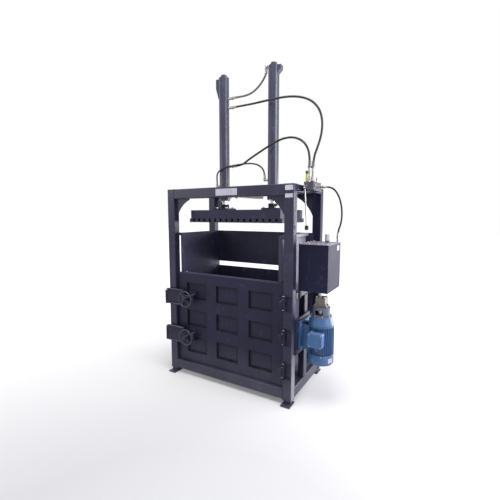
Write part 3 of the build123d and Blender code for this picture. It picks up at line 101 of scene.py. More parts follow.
def math_node(tree, operation, first, second=0.0):
    return add(tree, "ShaderNodeMath", {0: first, 1: second}, operation=operation).outputs[0]


def mix_colour(tree, factor, first, second):
    """Blend two colours and give the result's socket."""
    return add(tree, "ShaderNodeMix", {0: factor, 6: first, 7: second}, data_type="RGBA").outputs[2]


def remap(tree, value, low, high, to_low=0.0, to_high=1.0):
    """Stretch a range of values, held at both ends."""
    inputs = {"Value": value, 1: low, 2: high, 3: to_low, 4: to_high}
    return add(tree, "ShaderNodeMapRange", inputs).outputs[0]


def swing(tree, value, low, high):
    """Stretch a noise, which mostly stays between 0.3 and 0.7, to a range."""
    return remap(tree, value, 0.3, 0.7, low, high)


def noise(tree, place, scale, detail, roughness=0.5):
    inputs = {"Vector": place, "Scale": scale, "Detail": detail, "Roughness": roughness}
    return add(tree, "ShaderNodeTexNoise", inputs).outputs["Fac"]


def object_place(tree):
    """Where a shaded point lies on its own object."""
    return add(tree, "ShaderNodeTexCoord").outputs["Object"]


def xyz(tree, vector):
    """The three parts of a vector, by name."""
    return add(tree, "ShaderNodeSeparateXYZ", {0: vector}).outputs


def vector_node(tree, operation, *inputs):
    return add(tree, "ShaderNodeVectorMath", dict(enumerate(inputs)), operation=operation).outputs[0]


def shade(tree, colour, factor):
    """A colour made lighter or darker by a factor."""
    return add(tree, "ShaderNodeVectorMath", {0: colour, "Scale": factor}, operation="SCALE").outputs[0]


def group_tree(name, kind, inputs, outputs):
    """A node group with named sockets, what its inputs give and what its results take."""
    tree = bpy.data.node_groups.new(name, kind)
    for label, socket, value in inputs:
        item = tree.interface.new_socket(name=label, in_out="INPUT", socket_type=socket)
        if value is not None:
            item.default_value = value
    for label, socket in outputs:
        tree.interface.new_socket(name=label, in_out="OUTPUT", socket_type=socket)
    return tree, tree.nodes.new("NodeGroupInput").outputs, tree.nodes.new("NodeGroupOutput").inputs


def skin_result(tree, result, colour, rough, height):
    """Connect the three results that every skin group has."""
    for label, socket in (("Colour", colour), ("Roughness", rough), ("Height", height)):
        tree.links.new(socket, result[label])


FLOAT = "NodeSocketFloat"
COLOUR = "NodeSocketColor"
VECTOR = "NodeSocketVector"
GEOMETRY = "NodeSocketGeometry"
SKIN_RESULTS = [("Colour", COLOUR), ("Roughness", FLOAT), ("Height", FLOAT)]


def grey(level):
    return (level, level, level, 1.0)


# %% [markdown]
# ## Sprayed paint
# A shop sprays such a frame in one coat. Up close the coat has a fine orange peel, it is cloudy
# in tone, it is scuffed where things rub, and dust settles low down and on faces that look up.
# One group holds all of that, so the frame, the tank and the motor share it with their own
# colours.

# %% Sprayed paint group
paint_tree, given, result = group_tree(
    "Sprayed paint",
    "ShaderNodeTree",
    [
        ("Paint", COLOUR, (0.03, 0.03, 0.05, 1)),
        ("Scuffed paint", COLOUR, (0.2, 0.2, 0.22, 1)),
        ("Scuffs", FLOAT, 0.5),
        ("Dust", COLOUR, (0.25, 0.23, 0.21, 1)),
        ("Dust height", FLOAT, 0.5),
        ("Dust amount", FLOAT, 0.4),
        ("Gloss", FLOAT, 0.6),
        ("Peel size", FLOAT, 260.0),
    ],
    SKIN_RESULTS,
)
place = object_place(paint_tree)
clouds = noise(paint_tree, place, 3.2, 3.0)
rub = noise(paint_tree, place, 11.0, 9.0, 0.72)
peel = noise(paint_tree, place, given["Peel size"], 1.0)
stretch = add(paint_tree, "ShaderNodeMapping", {"Vector": place, "Scale": (40.0, 40.0, 1.6)})
runs = noise(paint_tree, stretch.outputs[0], 1.0, 3.0)
scuff_mask = remap(paint_tree, rub, 0.57, 0.68)
scuff_mask = math_node(paint_tree, "MULTIPLY", scuff_mask, given["Scuffs"])
low_dust = math_node(paint_tree, "DIVIDE", xyz(paint_tree, place)["Z"], given["Dust height"])
low_dust = remap(paint_tree, low_dust, 0.0, 1.0, 1.0, 0.0)
facing = add(paint_tree, "ShaderNodeNewGeometry").outputs["Normal"]
ledge_dust = remap(paint_tree, xyz(paint_tree, facing)["Z"], 0.75, 1.0, 0.0, 0.8)
dust_mask = math_node(paint_tree, "MAXIMUM", low_dust, ledge_dust)
for share in (swing(paint_tree, clouds, 0.35, 1.0), given["Dust amount"]):
    dust_mask = math_node(paint_tree, "MULTIPLY", dust_mask, share)
tone = swing(paint_tree, clouds, 0.82, 1.2)
tone = math_node(paint_tree, "MULTIPLY", tone, swing(paint_tree, runs, 0.9, 1.1))
coat = shade(paint_tree, given["Paint"], tone)
coat = mix_colour(paint_tree, scuff_mask, coat, given["Scuffed paint"])
coat = mix_colour(paint_tree, dust_mask, coat, given["Dust"])
rough = math_node(paint_tree, "SUBTRACT", 1.0, given["Gloss"])
for dulling in (
    math_node(paint_tree, "MULTIPLY", scuff_mask, 0.25),
    math_node(paint_tree, "MULTIPLY", dust_mask, 0.5),
    swing(paint_tree, clouds, -0.05, 0.05),
):
    rough = math_node(paint_tree, "ADD", rough, dulling)
skin_result(paint_tree, result, coat, rough, peel)
print("paint group nodes:", len(paint_tree.nodes))

# %% [markdown]
# ## Turned and plated steel
# Pins, bolts and rods are left bright. Turning leaves fine lines round the part, and handling
# leaves brown stains. Noise squeezed along one direction makes such lines, so the group takes
# the squeeze as an input.

# %% Machined steel group
steel_tree, given, result = group_tree(
    "Machined steel",
    "ShaderNodeTree",
    [
        ("Metal", COLOUR, (0.5, 0.5, 0.52, 1)),
        ("Stain", COLOUR, (0.12, 0.08, 0.05, 1)),
        ("Stains", FLOAT, 0.4),
        ("Line stretch", VECTOR, (30.0, 30.0, 900.0)),
        ("Roughness", FLOAT, 0.3),
    ],
    SKIN_RESULTS,
)
place = object_place(steel_tree)
squeezed = vector_node(steel_tree, "MULTIPLY", place, given["Line stretch"])
lines = noise(steel_tree, squeezed, 1.0, 2.0)
stain_mask = remap(steel_tree, noise(steel_tree, place, 38.0, 6.0, 0.7), 0.52, 0.7)
stain_mask = math_node(steel_tree, "MULTIPLY", stain_mask, given["Stains"])
metal = shade(steel_tree, given["Metal"], swing(steel_tree, lines, 0.86, 1.1))
metal = mix_colour(steel_tree, stain_mask, metal, given["Stain"])
rough = given["Roughness"]
for dulling in (math_node(steel_tree, "MULTIPLY", stain_mask, 0.4), swing(steel_tree, lines, -0.04, 0.06)):
    rough = math_node(steel_tree, "ADD", rough, dulling)
skin_result(steel_tree, result, metal, rough, lines)

# %% [markdown]
# ## Castings, rubber and plastic
# Cast bodies have a sandy skin with darker hollows, hoses a faint wrapped pattern and a bloom of
# dust, and moulded plastic a fine even grain. All three are grain of some size over a colour of
# their own, so one group with a grain size serves them.

# %% Grained skin group
grain_tree, given, result = group_tree(
    "Grained skin",
    "ShaderNodeTree",
    [
        ("Base", COLOUR, (0.2, 0.2, 0.2, 1)),
        ("Bloom", COLOUR, (0.3, 0.3, 0.3, 1)),
        ("Bloom amount", FLOAT, 0.3),
        ("Grain size", FLOAT, 300.0),
        ("Roughness", FLOAT, 0.6),
    ],
    SKIN_RESULTS,
)
place = object_place(grain_tree)
sand = noise(grain_tree, place, given["Grain size"], 2.0)
pits = add(grain_tree, "ShaderNodeTexVoronoi", {"Vector": place, "Scale": given["Grain size"]})
bloom_mask = remap(grain_tree, noise(grain_tree, place, 17.0, 5.0, 0.65), 0.4, 0.68)
bloom_mask = math_node(grain_tree, "MULTIPLY", bloom_mask, given["Bloom amount"])
skin = shade(grain_tree, given["Base"], swing(grain_tree, sand, 0.85, 1.15))
skin = mix_colour(grain_tree, bloom_mask, skin, given["Bloom"])
rough = math_node(grain_tree, "MULTIPLY", bloom_mask, 0.2)
rough = math_node(grain_tree, "ADD", given["Roughness"], rough)
relief = math_node(grain_tree, "MULTIPLY", sand, pits.outputs["Distance"])
skin_result(grain_tree, result, skin, rough, relief)

# %% [markdown]
# ## Finishes
# A finish is one of the groups with its own values, wired into a Principled shader. Paint and
# rubber reflect a little, bare steel reflects like a mirror that has been roughened. Values that
# are the same all over, such as the specular level, are set on the shader itself. Where a finish
# has a second colour in places, a mask group says where, and the colour is laid over the first.

# %% Finish builder
finishes = {}


def finish(name, group, values, bump, metallic=0.0, specular=0.3, coat=0.0, coat_roughness=0.03):
    """A material from a skin group; bump is the relief's depth in metres."""
    material = bpy.data.materials.new(name)
    material.use_nodes = True
    tree = material.node_tree
    shader = tree.nodes["Principled BSDF"]
    skin = add(tree, "ShaderNodeGroup", values, node_tree=group)
    bump_inputs = {"Height": skin.outputs["Height"], "Distance": bump, "Strength": 0.6}
    relief = add(tree, "ShaderNodeBump", bump_inputs)
    tree.links.new(skin.outputs["Colour"], shader.inputs["Base Color"])
    tree.links.new(skin.outputs["Roughness"], shader.inputs["Roughness"])
    tree.links.new(relief.outputs["Normal"], shader.inputs["Normal"])
    constants = {
        "Metallic": metallic,
        "Specular IOR Level": specular,
        "Coat Weight": coat,
        "Coat Roughness": coat_roughness,
    }
    for label, value in constants.items():
        shader.inputs[label].default_value = value
    finishes[name] = material


def overlay(finish_name, group, values, mask, colour):
    """Lay a colour over a finish where one of a group's masks says so."""
    tree = finishes[finish_name].node_tree
    base = tree.nodes["Principled BSDF"].inputs["Base Color"]
    masks = add(tree, "ShaderNodeGroup", values, node_tree=group)
    clean = base.links[0].from_socket
    tree.links.new(mix_colour(tree, masks.outputs[mask], clean, colour), base)


# %% Painted finishes
NAVY = (0.021, 0.021, 0.05, 1)
SCUFFED_NAVY = (0.085, 0.08, 0.14, 1)
WALL_NAVY = (0.036, 0.035, 0.074, 1)
SCUFFED_WALL = (0.12, 0.115, 0.17, 1)
MOTOR_BLUE = (0.048, 0.128, 0.29, 1)
DUST = (0.2, 0.19, 0.22, 1)
DUST_HEIGHT = 0.45
ENAMEL_COAT = 0.9
ENAMEL_ROUGHNESS = 0.28
PEEL_DEPTH = 0.00015
PAINT_INPUTS = ("Paint", "Scuffed paint", "Scuffs", "Dust amount", "Gloss")
# The last number of each row is the specular level.
painted = {
    "frame_paint": (NAVY, SCUFFED_NAVY, 0.45, 0.24, 0.7, 0.36),
    # The column and wall copies get painted light laid on their right-hand faces further on.
    "column_paint_with_painted_light": (NAVY, SCUFFED_NAVY, 0.45, 0.24, 0.7, 0.36),
    "chamber_paint": (WALL_NAVY, SCUFFED_WALL, 0.9, 0.35, 0.5, 0.3),
    "wall_paint_with_painted_light": (WALL_NAVY, SCUFFED_WALL, 0.9, 0.35, 0.5, 0.3),
    "platen_paint": ((0.034, 0.034, 0.066, 1), (0.13, 0.12, 0.17, 1), 0.7, 0.3, 0.55, 0.22),
    "door_paint": ((0.017, 0.0165, 0.041, 1), (0.06, 0.057, 0.105, 1), 0.5, 0.3, 0.5, 0.22),
    # Latch arms: heavy scuffs and dust, real wear that also paints a highlight on their top flanges.
    "latch_paint": ((0.017, 0.0165, 0.04, 1), (0.12, 0.115, 0.16, 1), 0.6, 1.0, 0.55, 0.22),
    "wheel_paint": ((0.02, 0.02, 0.038, 1), (0.16, 0.155, 0.19, 1), 0.8, 0.4, 0.75, 0.45),
    "cylinder_paint": ((0.02, 0.02, 0.05, 1), (0.09, 0.085, 0.14, 1), 0.35, 0.3, 0.7, 0.15),
    "tank_paint": ((0.016, 0.016, 0.04, 1), SCUFFED_NAVY, 0.3, 0.4, 0.5, 0.1),
    "lid_paint": ((0.13, 0.128, 0.17, 1), (0.3, 0.29, 0.33, 1), 0.5, 0.8, 0.68, 0.7),
    "relief_paint": ((0.42, 0.44, 0.08, 1), (0.2, 0.2, 0.16, 1), 0.6, 0.1, 0.6, 0.22),
    "motor_paint": (MOTOR_BLUE, (0.2, 0.33, 0.48, 1), 0.5, 0.5, 0.66, 0.45),
    "bell_paint": ((0.13, 0.15, 0.2, 1), (0.3, 0.31, 0.34, 1), 0.6, 0.5, 0.6, 0.22),
    "blank_plate": ((0.54, 0.53, 0.6, 1), (0.3, 0.29, 0.33, 1), 0.4, 0.1, 0.6, 0.22),
}
for name, (*row, shine) in painted.items():
    values = {**dict(zip(PAINT_INPUTS, row)), "Dust": DUST, "Dust height": DUST_HEIGHT}
    enamel = ENAMEL_COAT if name == "cylinder_paint" else 0.0
    gloss_coat = {"coat": enamel, "coat_roughness": ENAMEL_ROUGHNESS}
    finish(name, paint_tree, values, PEEL_DEPTH, specular=shine, **gloss_coat)
print("painted finishes:", len(painted))

# %% [markdown]
# ## Painted light on the right-hand faces
# Faces that look to the right are painted paler, as painted light: a painted reflection on the
# chamber's wall beside the tank, and painted bounce light from the floor on the front column near
# the floor. One mask finds both, by the way a face looks and by the heights where the painted
# light is full and where it has gone. It leaves the left half of the machine as it is.

# %% Painted light on right-hand faces
right_face_light_tree, given, result = group_tree(
    "Right face painted light",
    "ShaderNodeTree",
    [("Full at", FLOAT, 1.0), ("Gone at", FLOAT, 2.0), ("Amount", FLOAT, 0.5)],
    [("Painted light", FLOAT)],
)
facing = add(right_face_light_tree, "ShaderNodeNewGeometry").outputs["Normal"]
facing_right = math_node(right_face_light_tree, "GREATER_THAN", xyz(right_face_light_tree, facing)["X"], 0.5)
place = xyz(right_face_light_tree, object_place(right_face_light_tree))
right_half = math_node(right_face_light_tree, "GREATER_THAN", place["X"], 0.0)
painted_light = remap(right_face_light_tree, place["Z"], given["Full at"], given["Gone at"], 1.0, 0.0)
for share in (given["Amount"], facing_right, right_half):
    painted_light = math_node(right_face_light_tree, "MULTIPLY", painted_light, share)
right_face_light_tree.links.new(painted_light, result["Painted light"])

# The pale colour is painted light: a painted reflection on the wall, painted floor bounce on the column.
PAINTED_LIGHT_COLOUR = (0.24, 0.235, 0.275, 1)
for name, full_at, gone_at, amount in (("wall_paint_with_painted_light", 1.05, 0.9, 1.0), ("column_paint_with_painted_light", 0.2, 0.75, 0.9)):
    overlay(name, right_face_light_tree, {"Full at": full_at, "Gone at": gone_at, "Amount": amount}, "Painted light", PAINTED_LIGHT_COLOUR)
print("painted light nodes:", len(right_face_light_tree.nodes))

# %% [markdown]
# ## Painted shade and dirt in the door's pockets
# The nine windows are pockets. Each is drawn round with a dark line inside its edge: painted
# shade from the pocket's walls, and dirt that stays in the corners. They repeat evenly, so
# wrapping the place onto one pitch finds the distance to the nearest window's edge for all nine
# at once. Only the outer face has pockets, so a limit on the depth keeps the door's inside clean.

# %% Pocket shade and dirt
pocket_shade_tree, given, result = group_tree(
    "Pocket shade and dirt",
    "ShaderNodeTree",
    [
        ("Corner", VECTOR, (0.0, 0.0, 0.0)),
        ("Pitch", VECTOR, (1.0, 1.0, 1.0)),
        ("Half size", VECTOR, (0.1, 1.0, 0.1)),
        ("Line width", FLOAT, 0.02),
        ("Pocket floor", FLOAT, 0.0),
    ],
    [("Shade and dirt", FLOAT)],
)
place = object_place(pocket_shade_tree)
pitch = given["Pitch"]
moved = vector_node(pocket_shade_tree, "SUBTRACT", place, given["Corner"])
folded = vector_node(pocket_shade_tree, "WRAP", moved, pitch, (0, 0, 0))
middle = vector_node(pocket_shade_tree, "MULTIPLY", pitch, (0.5, 0.5, 0.5))
offset = vector_node(pocket_shade_tree, "ABSOLUTE", vector_node(pocket_shade_tree, "SUBTRACT", folded, middle))
to_edge = xyz(pocket_shade_tree, vector_node(pocket_shade_tree, "SUBTRACT", offset, given["Half size"]))
to_edge = math_node(pocket_shade_tree, "MAXIMUM", to_edge["X"], to_edge["Z"])
inside = math_node(pocket_shade_tree, "LESS_THAN", to_edge, 0.001)
outer_face = math_node(pocket_shade_tree, "LESS_THAN", xyz(pocket_shade_tree, place)["Y"], given["Pocket floor"])
unevenness = remap(pocket_shade_tree, noise(pocket_shade_tree, place, 14.0, 4.0), 0.35, 0.6, 0.45, 1.0)
shade_and_dirt = math_node(pocket_shade_tree, "DIVIDE", to_edge, given["Line width"])
shade_and_dirt = remap(pocket_shade_tree, shade_and_dirt, -1.0, -0.3)
for share in (inside, outer_face, unevenness):
    shade_and_dirt = math_node(pocket_shade_tree, "MULTIPLY", shade_and_dirt, share)
pocket_shade_tree.links.new(shade_and_dirt, result["Shade and dirt"])

WINDOW_PITCH = (0.383, 1.0, 0.293)
WINDOW_HALF = (0.1275, 0.0875)
# The dark line is painted shade in the pockets, with some dirt.
POCKET_SHADE_AND_DIRT = (0.004, 0.004, 0.007, 1)
lattice_low, lattice_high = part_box("door_lattice")
door_centre = ((lattice_low[0] + lattice_high[0]) / 2, (lattice_low[2] + lattice_high[2]) / 2)
pocket_values = {
    "Corner": (door_centre[0] - 1.5 * WINDOW_PITCH[0], 0.0, door_centre[1] - 1.5 * WINDOW_PITCH[2]),
    "Pitch": WINDOW_PITCH,
    "Half size": (WINDOW_HALF[0], 1.0, WINDOW_HALF[1]),
    "Line width": 0.034,
    "Pocket floor": lattice_high[1] + 0.001,
}
overlay("door_paint", pocket_shade_tree, pocket_values, "Shade and dirt", POCKET_SHADE_AND_DIRT)
print("pocket shade and dirt nodes:", len(pocket_shade_tree.nodes))

# %% Bare metal finishes
ROUND_LINES = (30.0, 30.0, 900.0)
CAST_GRAIN = (120.0, 120.0, 120.0)
STEEL_INPUTS = ("Metal", "Stains", "Roughness", "Line stretch")
LINE_DEPTH = 0.0001
bare = {
    "bright_steel": ((0.5, 0.5, 0.52, 1), 0.5, 0.32, ROUND_LINES),
    "rod_chrome": ((0.68, 0.68, 0.7, 1), 0.12, 0.12, ROUND_LINES),
    "gland_steel": ((0.15, 0.15, 0.16, 1), 0.5, 0.4, ROUND_LINES),
    "lever_steel": ((0.42, 0.42, 0.45, 1), 0.4, 0.3, ROUND_LINES),
    "fitting_steel": ((0.4, 0.39, 0.38, 1), 0.55, 0.36, ROUND_LINES),
    "pump_alloy": ((0.2, 0.185, 0.175, 1), 0.8, 0.46, CAST_GRAIN),
}
for name, row in bare.items():
    finish(name, steel_tree, dict(zip(STEEL_INPUTS, row)), LINE_DEPTH, metallic=1.0, specular=0.5)
print("bare finishes:", len(bare))

# %% Cast, rubber and plastic finishes
GRAIN_INPUTS = ("Base", "Bloom", "Bloom amount", "Grain size", "Roughness")
# The last number of each row is the grain's depth.
moulded = {
    "valve_iron": ((0.05, 0.047, 0.068, 1), (0.2, 0.18, 0.22, 1), 0.5, 420.0, 0.5, 0.0006),
    "cap_plastic": ((0.55, 0.55, 0.58, 1), (0.7, 0.7, 0.72, 1), 0.3, 700.0, 0.45, 0.0001),
    "knob_plastic": ((0.012, 0.012, 0.014, 1), (0.06, 0.06, 0.065, 1), 0.2, 500.0, 0.25, 0.0001),
    "fan_plastic": ((0.02, 0.02, 0.022, 1), (0.08, 0.08, 0.08, 1), 0.4, 600.0, 0.6, 0.0001),
    "hose_rubber": ((0.011, 0.011, 0.014, 1), (0.07, 0.065, 0.065, 1), 0.35, 520.0, 0.5, 0.0004),
    "link_rubber": ((0.11, 0.105, 0.105, 1), (0.22, 0.2, 0.19, 1), 0.5, 520.0, 0.55, 0.0004),
}
for name, (*row, depth) in moulded.items():
    finish(name, grain_tree, dict(zip(GRAIN_INPUTS, row)), depth, specular=0.35)
print("moulded finishes:", len(moulded))

# %% [markdown]
# ## Coloured caps on the valve
# The valve's casting is grey, but the two plugs that stand on it wear plastic caps, a pale one and
# a pink one. They belong to the same solid, so a mask picks them out: above the casting's top, and
# behind a line between them for the pink one. The relief valve is yellow up to its adjusting cap,
# which is bare dark metal, and the same mask picks that cap out by its height.

# %% Valve caps
FRONT_CAP = (0.45, 0.33, 0.4, 1)
REAR_CAP = (0.38, 0.1, 0.18, 1)
DARK_METAL = (0.09, 0.085, 0.08, 1)
ADJUSTING_CAP = 0.026
cap_tree, given, result = group_tree(
    "Plug caps",
    "ShaderNodeTree",
    [("Cap bottom", FLOAT, 2.03), ("Dividing line", FLOAT, -0.14)],
    [("Caps", FLOAT), ("Rear cap", FLOAT)],
)
place = xyz(cap_tree, object_place(cap_tree))
above = math_node(cap_tree, "GREATER_THAN", place["Z"], given["Cap bottom"])
behind = math_node(cap_tree, "GREATER_THAN", place["Y"], given["Dividing line"])
cap_tree.links.new(above, result["Caps"])
cap_tree.links.new(math_node(cap_tree, "MULTIPLY", above, behind), result["Rear cap"])
overlay("valve_iron", cap_tree, {}, "Caps", FRONT_CAP)
overlay("valve_iron", cap_tree, {}, "Rear cap", REAR_CAP)
relief_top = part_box("relief_valve")[1][2]
overlay("relief_paint", cap_tree, {"Cap bottom": relief_top - ADJUSTING_CAP}, "Caps", DARK_METAL)
print("cap mask nodes:", len(cap_tree.nodes))

# %% [markdown]
# ## Giving every solid its finish
# The record says which finish each solid takes. Looping over it dresses all of them at once, and
# a name that has no finish yet would show up here. The latch arms have the door's paint with
# heavier scuffs and dust on their flanges: real wear, which also paints a highlight on their top
# flanges. The rear right column takes the tank's darker, duller paint, as painted shade on its
# right face beside the tank. The side walls and the front right column get the paints that carry
# painted light on their right-hand faces.

# %% Dress the solids
slot_of = {row["node"]: row["material_slot"] for row in frame["record"]["subparts"]}
# Latch arms: wear that also paints a highlight; rear right column: painted shade; the rest: painted light.
FINISHES_FOR_WEAR_AND_PAINTED_LIGHT = {
    "upper_latch_arm": "latch_paint",
    "lower_latch_arm": "latch_paint",
    "rear_right_column": "tank_paint",
    "front_right_column": "column_paint_with_painted_light",
    "side_walls": "wall_paint_with_painted_light",
}
for node_name, solid in nodes.items():
    solid.data.materials.clear()
    solid.data.materials.append(finishes[FINISHES_FOR_WEAR_AND_PAINTED_LIGHT.get(node_name, slot_of[node_name])])
print("dressed:", len(nodes))

# %% [markdown]
# ## Hoses
# Oil goes to the cylinders through rubber hoses that stand up from their fittings and fall over
# in wide arcs. A smooth curve with the route's points as its control points bends as evenly as a
# real hose does. Each one rides on the frame.

# %% Hose builder
hoses = {}


def hose(name, finish_name, diameter, points):
    """A round hose along a route, riding on the frame."""
    curve = bpy.data.curves.new(name, "CURVE")
    curve.dimensions = "3D"
    curve.bevel_depth = diameter / 2
    curve.bevel_resolution = 4
    curve.resolution_u = 8
    line = curve.splines.new("NURBS")
    line.points.add(len(points) - 1)
    for knot, point in zip(line.points, points):
        knot.co = (*point, 1.0)
    line.order_u = 3
    line.use_endpoint_u = True
    piece = bpy.data.objects.new(name, curve)
    scene.collection.objects.link(piece)
    curve.materials.append(finishes[finish_name])
    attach(piece, "frame")
    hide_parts(name.replace("_line", ""))
    hoses[name] = points


THICK_HOSE = 0.020
SLIM_HOSE = 0.016

# %% Hose between the barrel tops
cap_link_route = [
    (-0.190, 0.060, 2.976), (-0.112, 0.060, 2.976), (-0.036, 0.060, 2.974),
    (0.034, 0.060, 2.984), (0.094, 0.060, 3.010), (0.146, 0.060, 3.050),
    (0.188, 0.060, 3.098), (0.215, 0.060, 3.145), (0.215, 0.060, 3.1945),
]
hose("cap_link_hose_line", "link_rubber", THICK_HOSE, cap_link_route)

# %% Long hose from the valve to the left barrel
cap_supply_route = [
    (0.800, -0.140, 2.160), (0.800, -0.140, 2.245), (0.838, -0.140, 2.335),
    (0.868, -0.137, 2.440), (0.872, -0.132, 2.550), (0.842, -0.125, 2.655),
    (0.765, -0.114, 2.745), (0.650, -0.099, 2.802), (0.510, -0.082, 2.832),
    (0.360, -0.066, 2.840), (0.215, -0.040, 2.845), (0.075, 0.005, 2.858),
    (-0.065, 0.060, 2.880), (-0.190, 0.060, 2.880),
]
hose("cap_supply_hose_line", "hose_rubber", THICK_HOSE, cap_supply_route)

# %% Lower hose from the valve to the left barrel
rod_supply_route = [
    (0.768, -0.150, 2.160), (0.768, -0.150, 2.250), (0.744, -0.148, 2.340),
    (0.688, -0.142, 2.405), (0.602, -0.128, 2.445), (0.500, -0.110, 2.452),
    (0.395, -0.090, 2.430), (0.290, -0.070, 2.392), (0.165, -0.045, 2.344),
    (0.035, 0.000, 2.300), (-0.080, 0.060, 2.262), (-0.190, 0.060, 2.262),
]
hose("rod_supply_hose_line", "hose_rubber", THICK_HOSE, rod_supply_route)

# %% Hose between the barrel feet
rod_link_route = [
    (-0.390, 0.040, 2.070), (-0.390, 0.040, 2.127), (-0.372, 0.014, 2.178),
    (-0.325, -0.014, 2.212), (-0.250, -0.032, 2.236), (-0.165, -0.042, 2.248),
    (-0.075, -0.046, 2.254), (0.015, -0.043, 2.260), (0.095, -0.031, 2.260),
    (0.155, -0.009, 2.246), (0.195, 0.017, 2.216), (0.213, 0.038, 2.165),
    (0.213, 0.038, 2.105),
]
hose("rod_link_hose_line", "hose_rubber", SLIM_HOSE, rod_link_route)

# %% Return hose from the valve to the tank
return_route = [
    (0.860, -0.040, 1.988), (0.915, -0.040, 1.988), (0.966, -0.034, 1.962),
    (1.001, -0.024, 1.908), (1.021, -0.009, 1.838), (1.027, 0.008, 1.765),
    (1.023, 0.022, 1.700), (1.010, 0.036, 1.640), (0.984, 0.050, 1.580),
    (0.984, 0.050, 1.525),
]
hose("return_hose_line", "hose_rubber", SLIM_HOSE, return_route)
print("hoses:", sorted(hoses))

# %% [markdown]
# ## Things that come in dozens
# Screws, nuts, crimped sleeves and weld beads all repeat one small shape at many places. The
# places are the points of a plain mesh, each with the direction that its piece faces, and a
# geometry tree puts the shape on every point. The result is turned into a plain mesh, one for
# each moving body.


# %% Helpers for repeated pieces
def set_inputs(modifier, values):
    """Set a tree's named inputs on its modifier."""
    for item in modifier.node_group.interface.items_tree:
        if item.in_out == "INPUT" and item.name in values:
            modifier[item.identifier] = values[item.name]


def places_mesh(name, places):
    """A mesh of loose points, each with the direction it faces."""
    mesh = bpy.data.meshes.new(name)
    mesh.from_pydata([tuple(at) for at, _ in places], [], [])
    facing_data = mesh.attributes.new("facing", "FLOAT_VECTOR", "POINT")
    facing_data.data.foreach_set("vector", [v for _, way in places for v in way])
    return mesh


def settle(name, mesh, tree, values, finish_name, body):
    """Run a tree on a mesh, keep its result as a plain mesh and give it to a body."""
    piece = bpy.data.objects.new(name, mesh)
    scene.collection.objects.link(piece)
    modifier = piece.modifiers.new("repeat", "NODES")
    modifier.node_group = tree
    set_inputs(modifier, {**values, "Finish": finishes[finish_name]})
    depsgraph = bpy.context.evaluated_depsgraph_get()
    made = bpy.data.meshes.new_from_object(piece.evaluated_get(depsgraph))
    piece.modifiers.clear()
    piece.data = made
    piece.data.name = name
    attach(piece, body)
    print(name, "faces:", len(made.polygons))


def place_all(name, places, tree, values, finish_name):
    """Repeat a tree's shape at a list of places on the frame."""
    settle(name, places_mesh(name + "_places", places), tree, values, finish_name, "frame")


def repeat_tree(name, inputs):
    """A geometry tree with a Geometry and a Finish input beside its own."""
    sockets = [("Geometry", GEOMETRY, None), *inputs, ("Finish", "NodeSocketMaterial", None)]
    return group_tree(name, "GeometryNodeTree", sockets, [("Geometry", GEOMETRY)])


def facing_rotation(tree):
    """Rotation that turns +Z to the point's own direction."""
    way = add(tree, "GeometryNodeInputNamedAttribute", {"Name": "facing"}, data_type="FLOAT_VECTOR")
    turn = add(tree, "FunctionNodeAlignRotationToVector", {"Vector": way.outputs[0]}, axis="Z")
    return turn.outputs[0]


def put_on_points(tree, given, result, shape, points, rotation):
    """Put a shape on every point, make the copies real and set their material: a tree's end."""
    inputs = {"Points": points, "Instance": shape, "Rotation": rotation}
    placed = add(tree, "GeometryNodeInstanceOnPoints", inputs)
    real = add(tree, "GeometryNodeRealizeInstances", {0: placed.outputs[0]})
    named = add(tree, "GeometryNodeSetMaterial", {0: real.outputs[0], "Material": given["Finish"]})
    tree.links.new(named.outputs[0], result[0])


def put_on_places(tree, given, result, shape):
    """The same for a tree that runs on a mesh of places."""
    put_on_points(tree, given, result, shape, given["Geometry"], facing_rotation(tree))


def drum(tree, sides, radius, depth, base):
    """A closed drum that stands on a height, as geometry."""
    shape = add(tree, "GeometryNodeMeshCylinder", {"Vertices": sides, "Radius": radius, "Depth": depth})
    half = math_node(tree, "MULTIPLY", depth, 0.5)
    middle = math_node(tree, "ADD", half, base)
    lift = add(tree, "ShaderNodeCombineXYZ", {"Z": middle})
    moved = add(tree, "GeometryNodeTransform", {"Geometry": shape.outputs[0], "Translation": lift.outputs[0]})
    return moved.outputs[0]


def smooth_ball(tree, segments, rings, radius, scale):
    """A ball stretched by three factors and shaded smooth, as geometry."""
    ball = add(tree, "GeometryNodeMeshUVSphere", {"Segments": segments, "Rings": rings, "Radius": radius})
    size = add(tree, "ShaderNodeCombineXYZ", dict(enumerate(scale)))
    stretched = add(tree, "GeometryNodeTransform", {"Geometry": ball.outputs[0], "Scale": size.outputs[0]})
    return add(tree, "GeometryNodeSetShadeSmooth", {"Geometry": stretched.outputs[0]}).outputs[0]


# %% [markdown]
# ## Screws and nuts
# A hexagon head on a washer: the washer is a thin disc, the head a six-sided drum, and the
# shank's end a small round one. Their sizes are inputs, so the same tree makes the motor's tiny
# screws and the valve's large plugs.

# %% Screw tree
HEXAGON_SHARE = 0.577
screw_tree, given, result = repeat_tree(
    "Screws",
    [
        ("Head width", FLOAT, 0.013),
        ("Head height", FLOAT, 0.005),
        ("Washer width", FLOAT, 0.018),
        ("Washer thickness", FLOAT, 0.0015),
    ],
)
head_radius = math_node(screw_tree, "MULTIPLY", given["Head width"], HEXAGON_SHARE)
washer_radius = math_node(screw_tree, "MULTIPLY", given["Washer width"], 0.5)
stub_radius = math_node(screw_tree, "MULTIPLY", given["Head width"], 0.28)
washer_top = given["Washer thickness"]
head_top = math_node(screw_tree, "ADD", washer_top, given["Head height"])
stub_height = math_node(screw_tree, "MULTIPLY", given["Head height"], 0.35)
screw = add(screw_tree, "GeometryNodeJoinGeometry")
for shape in (
    drum(screw_tree, 20, washer_radius, washer_top, 0.0),
    drum(screw_tree, 6, head_radius, given["Head height"], washer_top),
    drum(screw_tree, 12, stub_radius, stub_height, head_top),
):
    screw_tree.links.new(shape, screw.inputs[0])
put_on_places(screw_tree, given, result, screw.outputs[0])


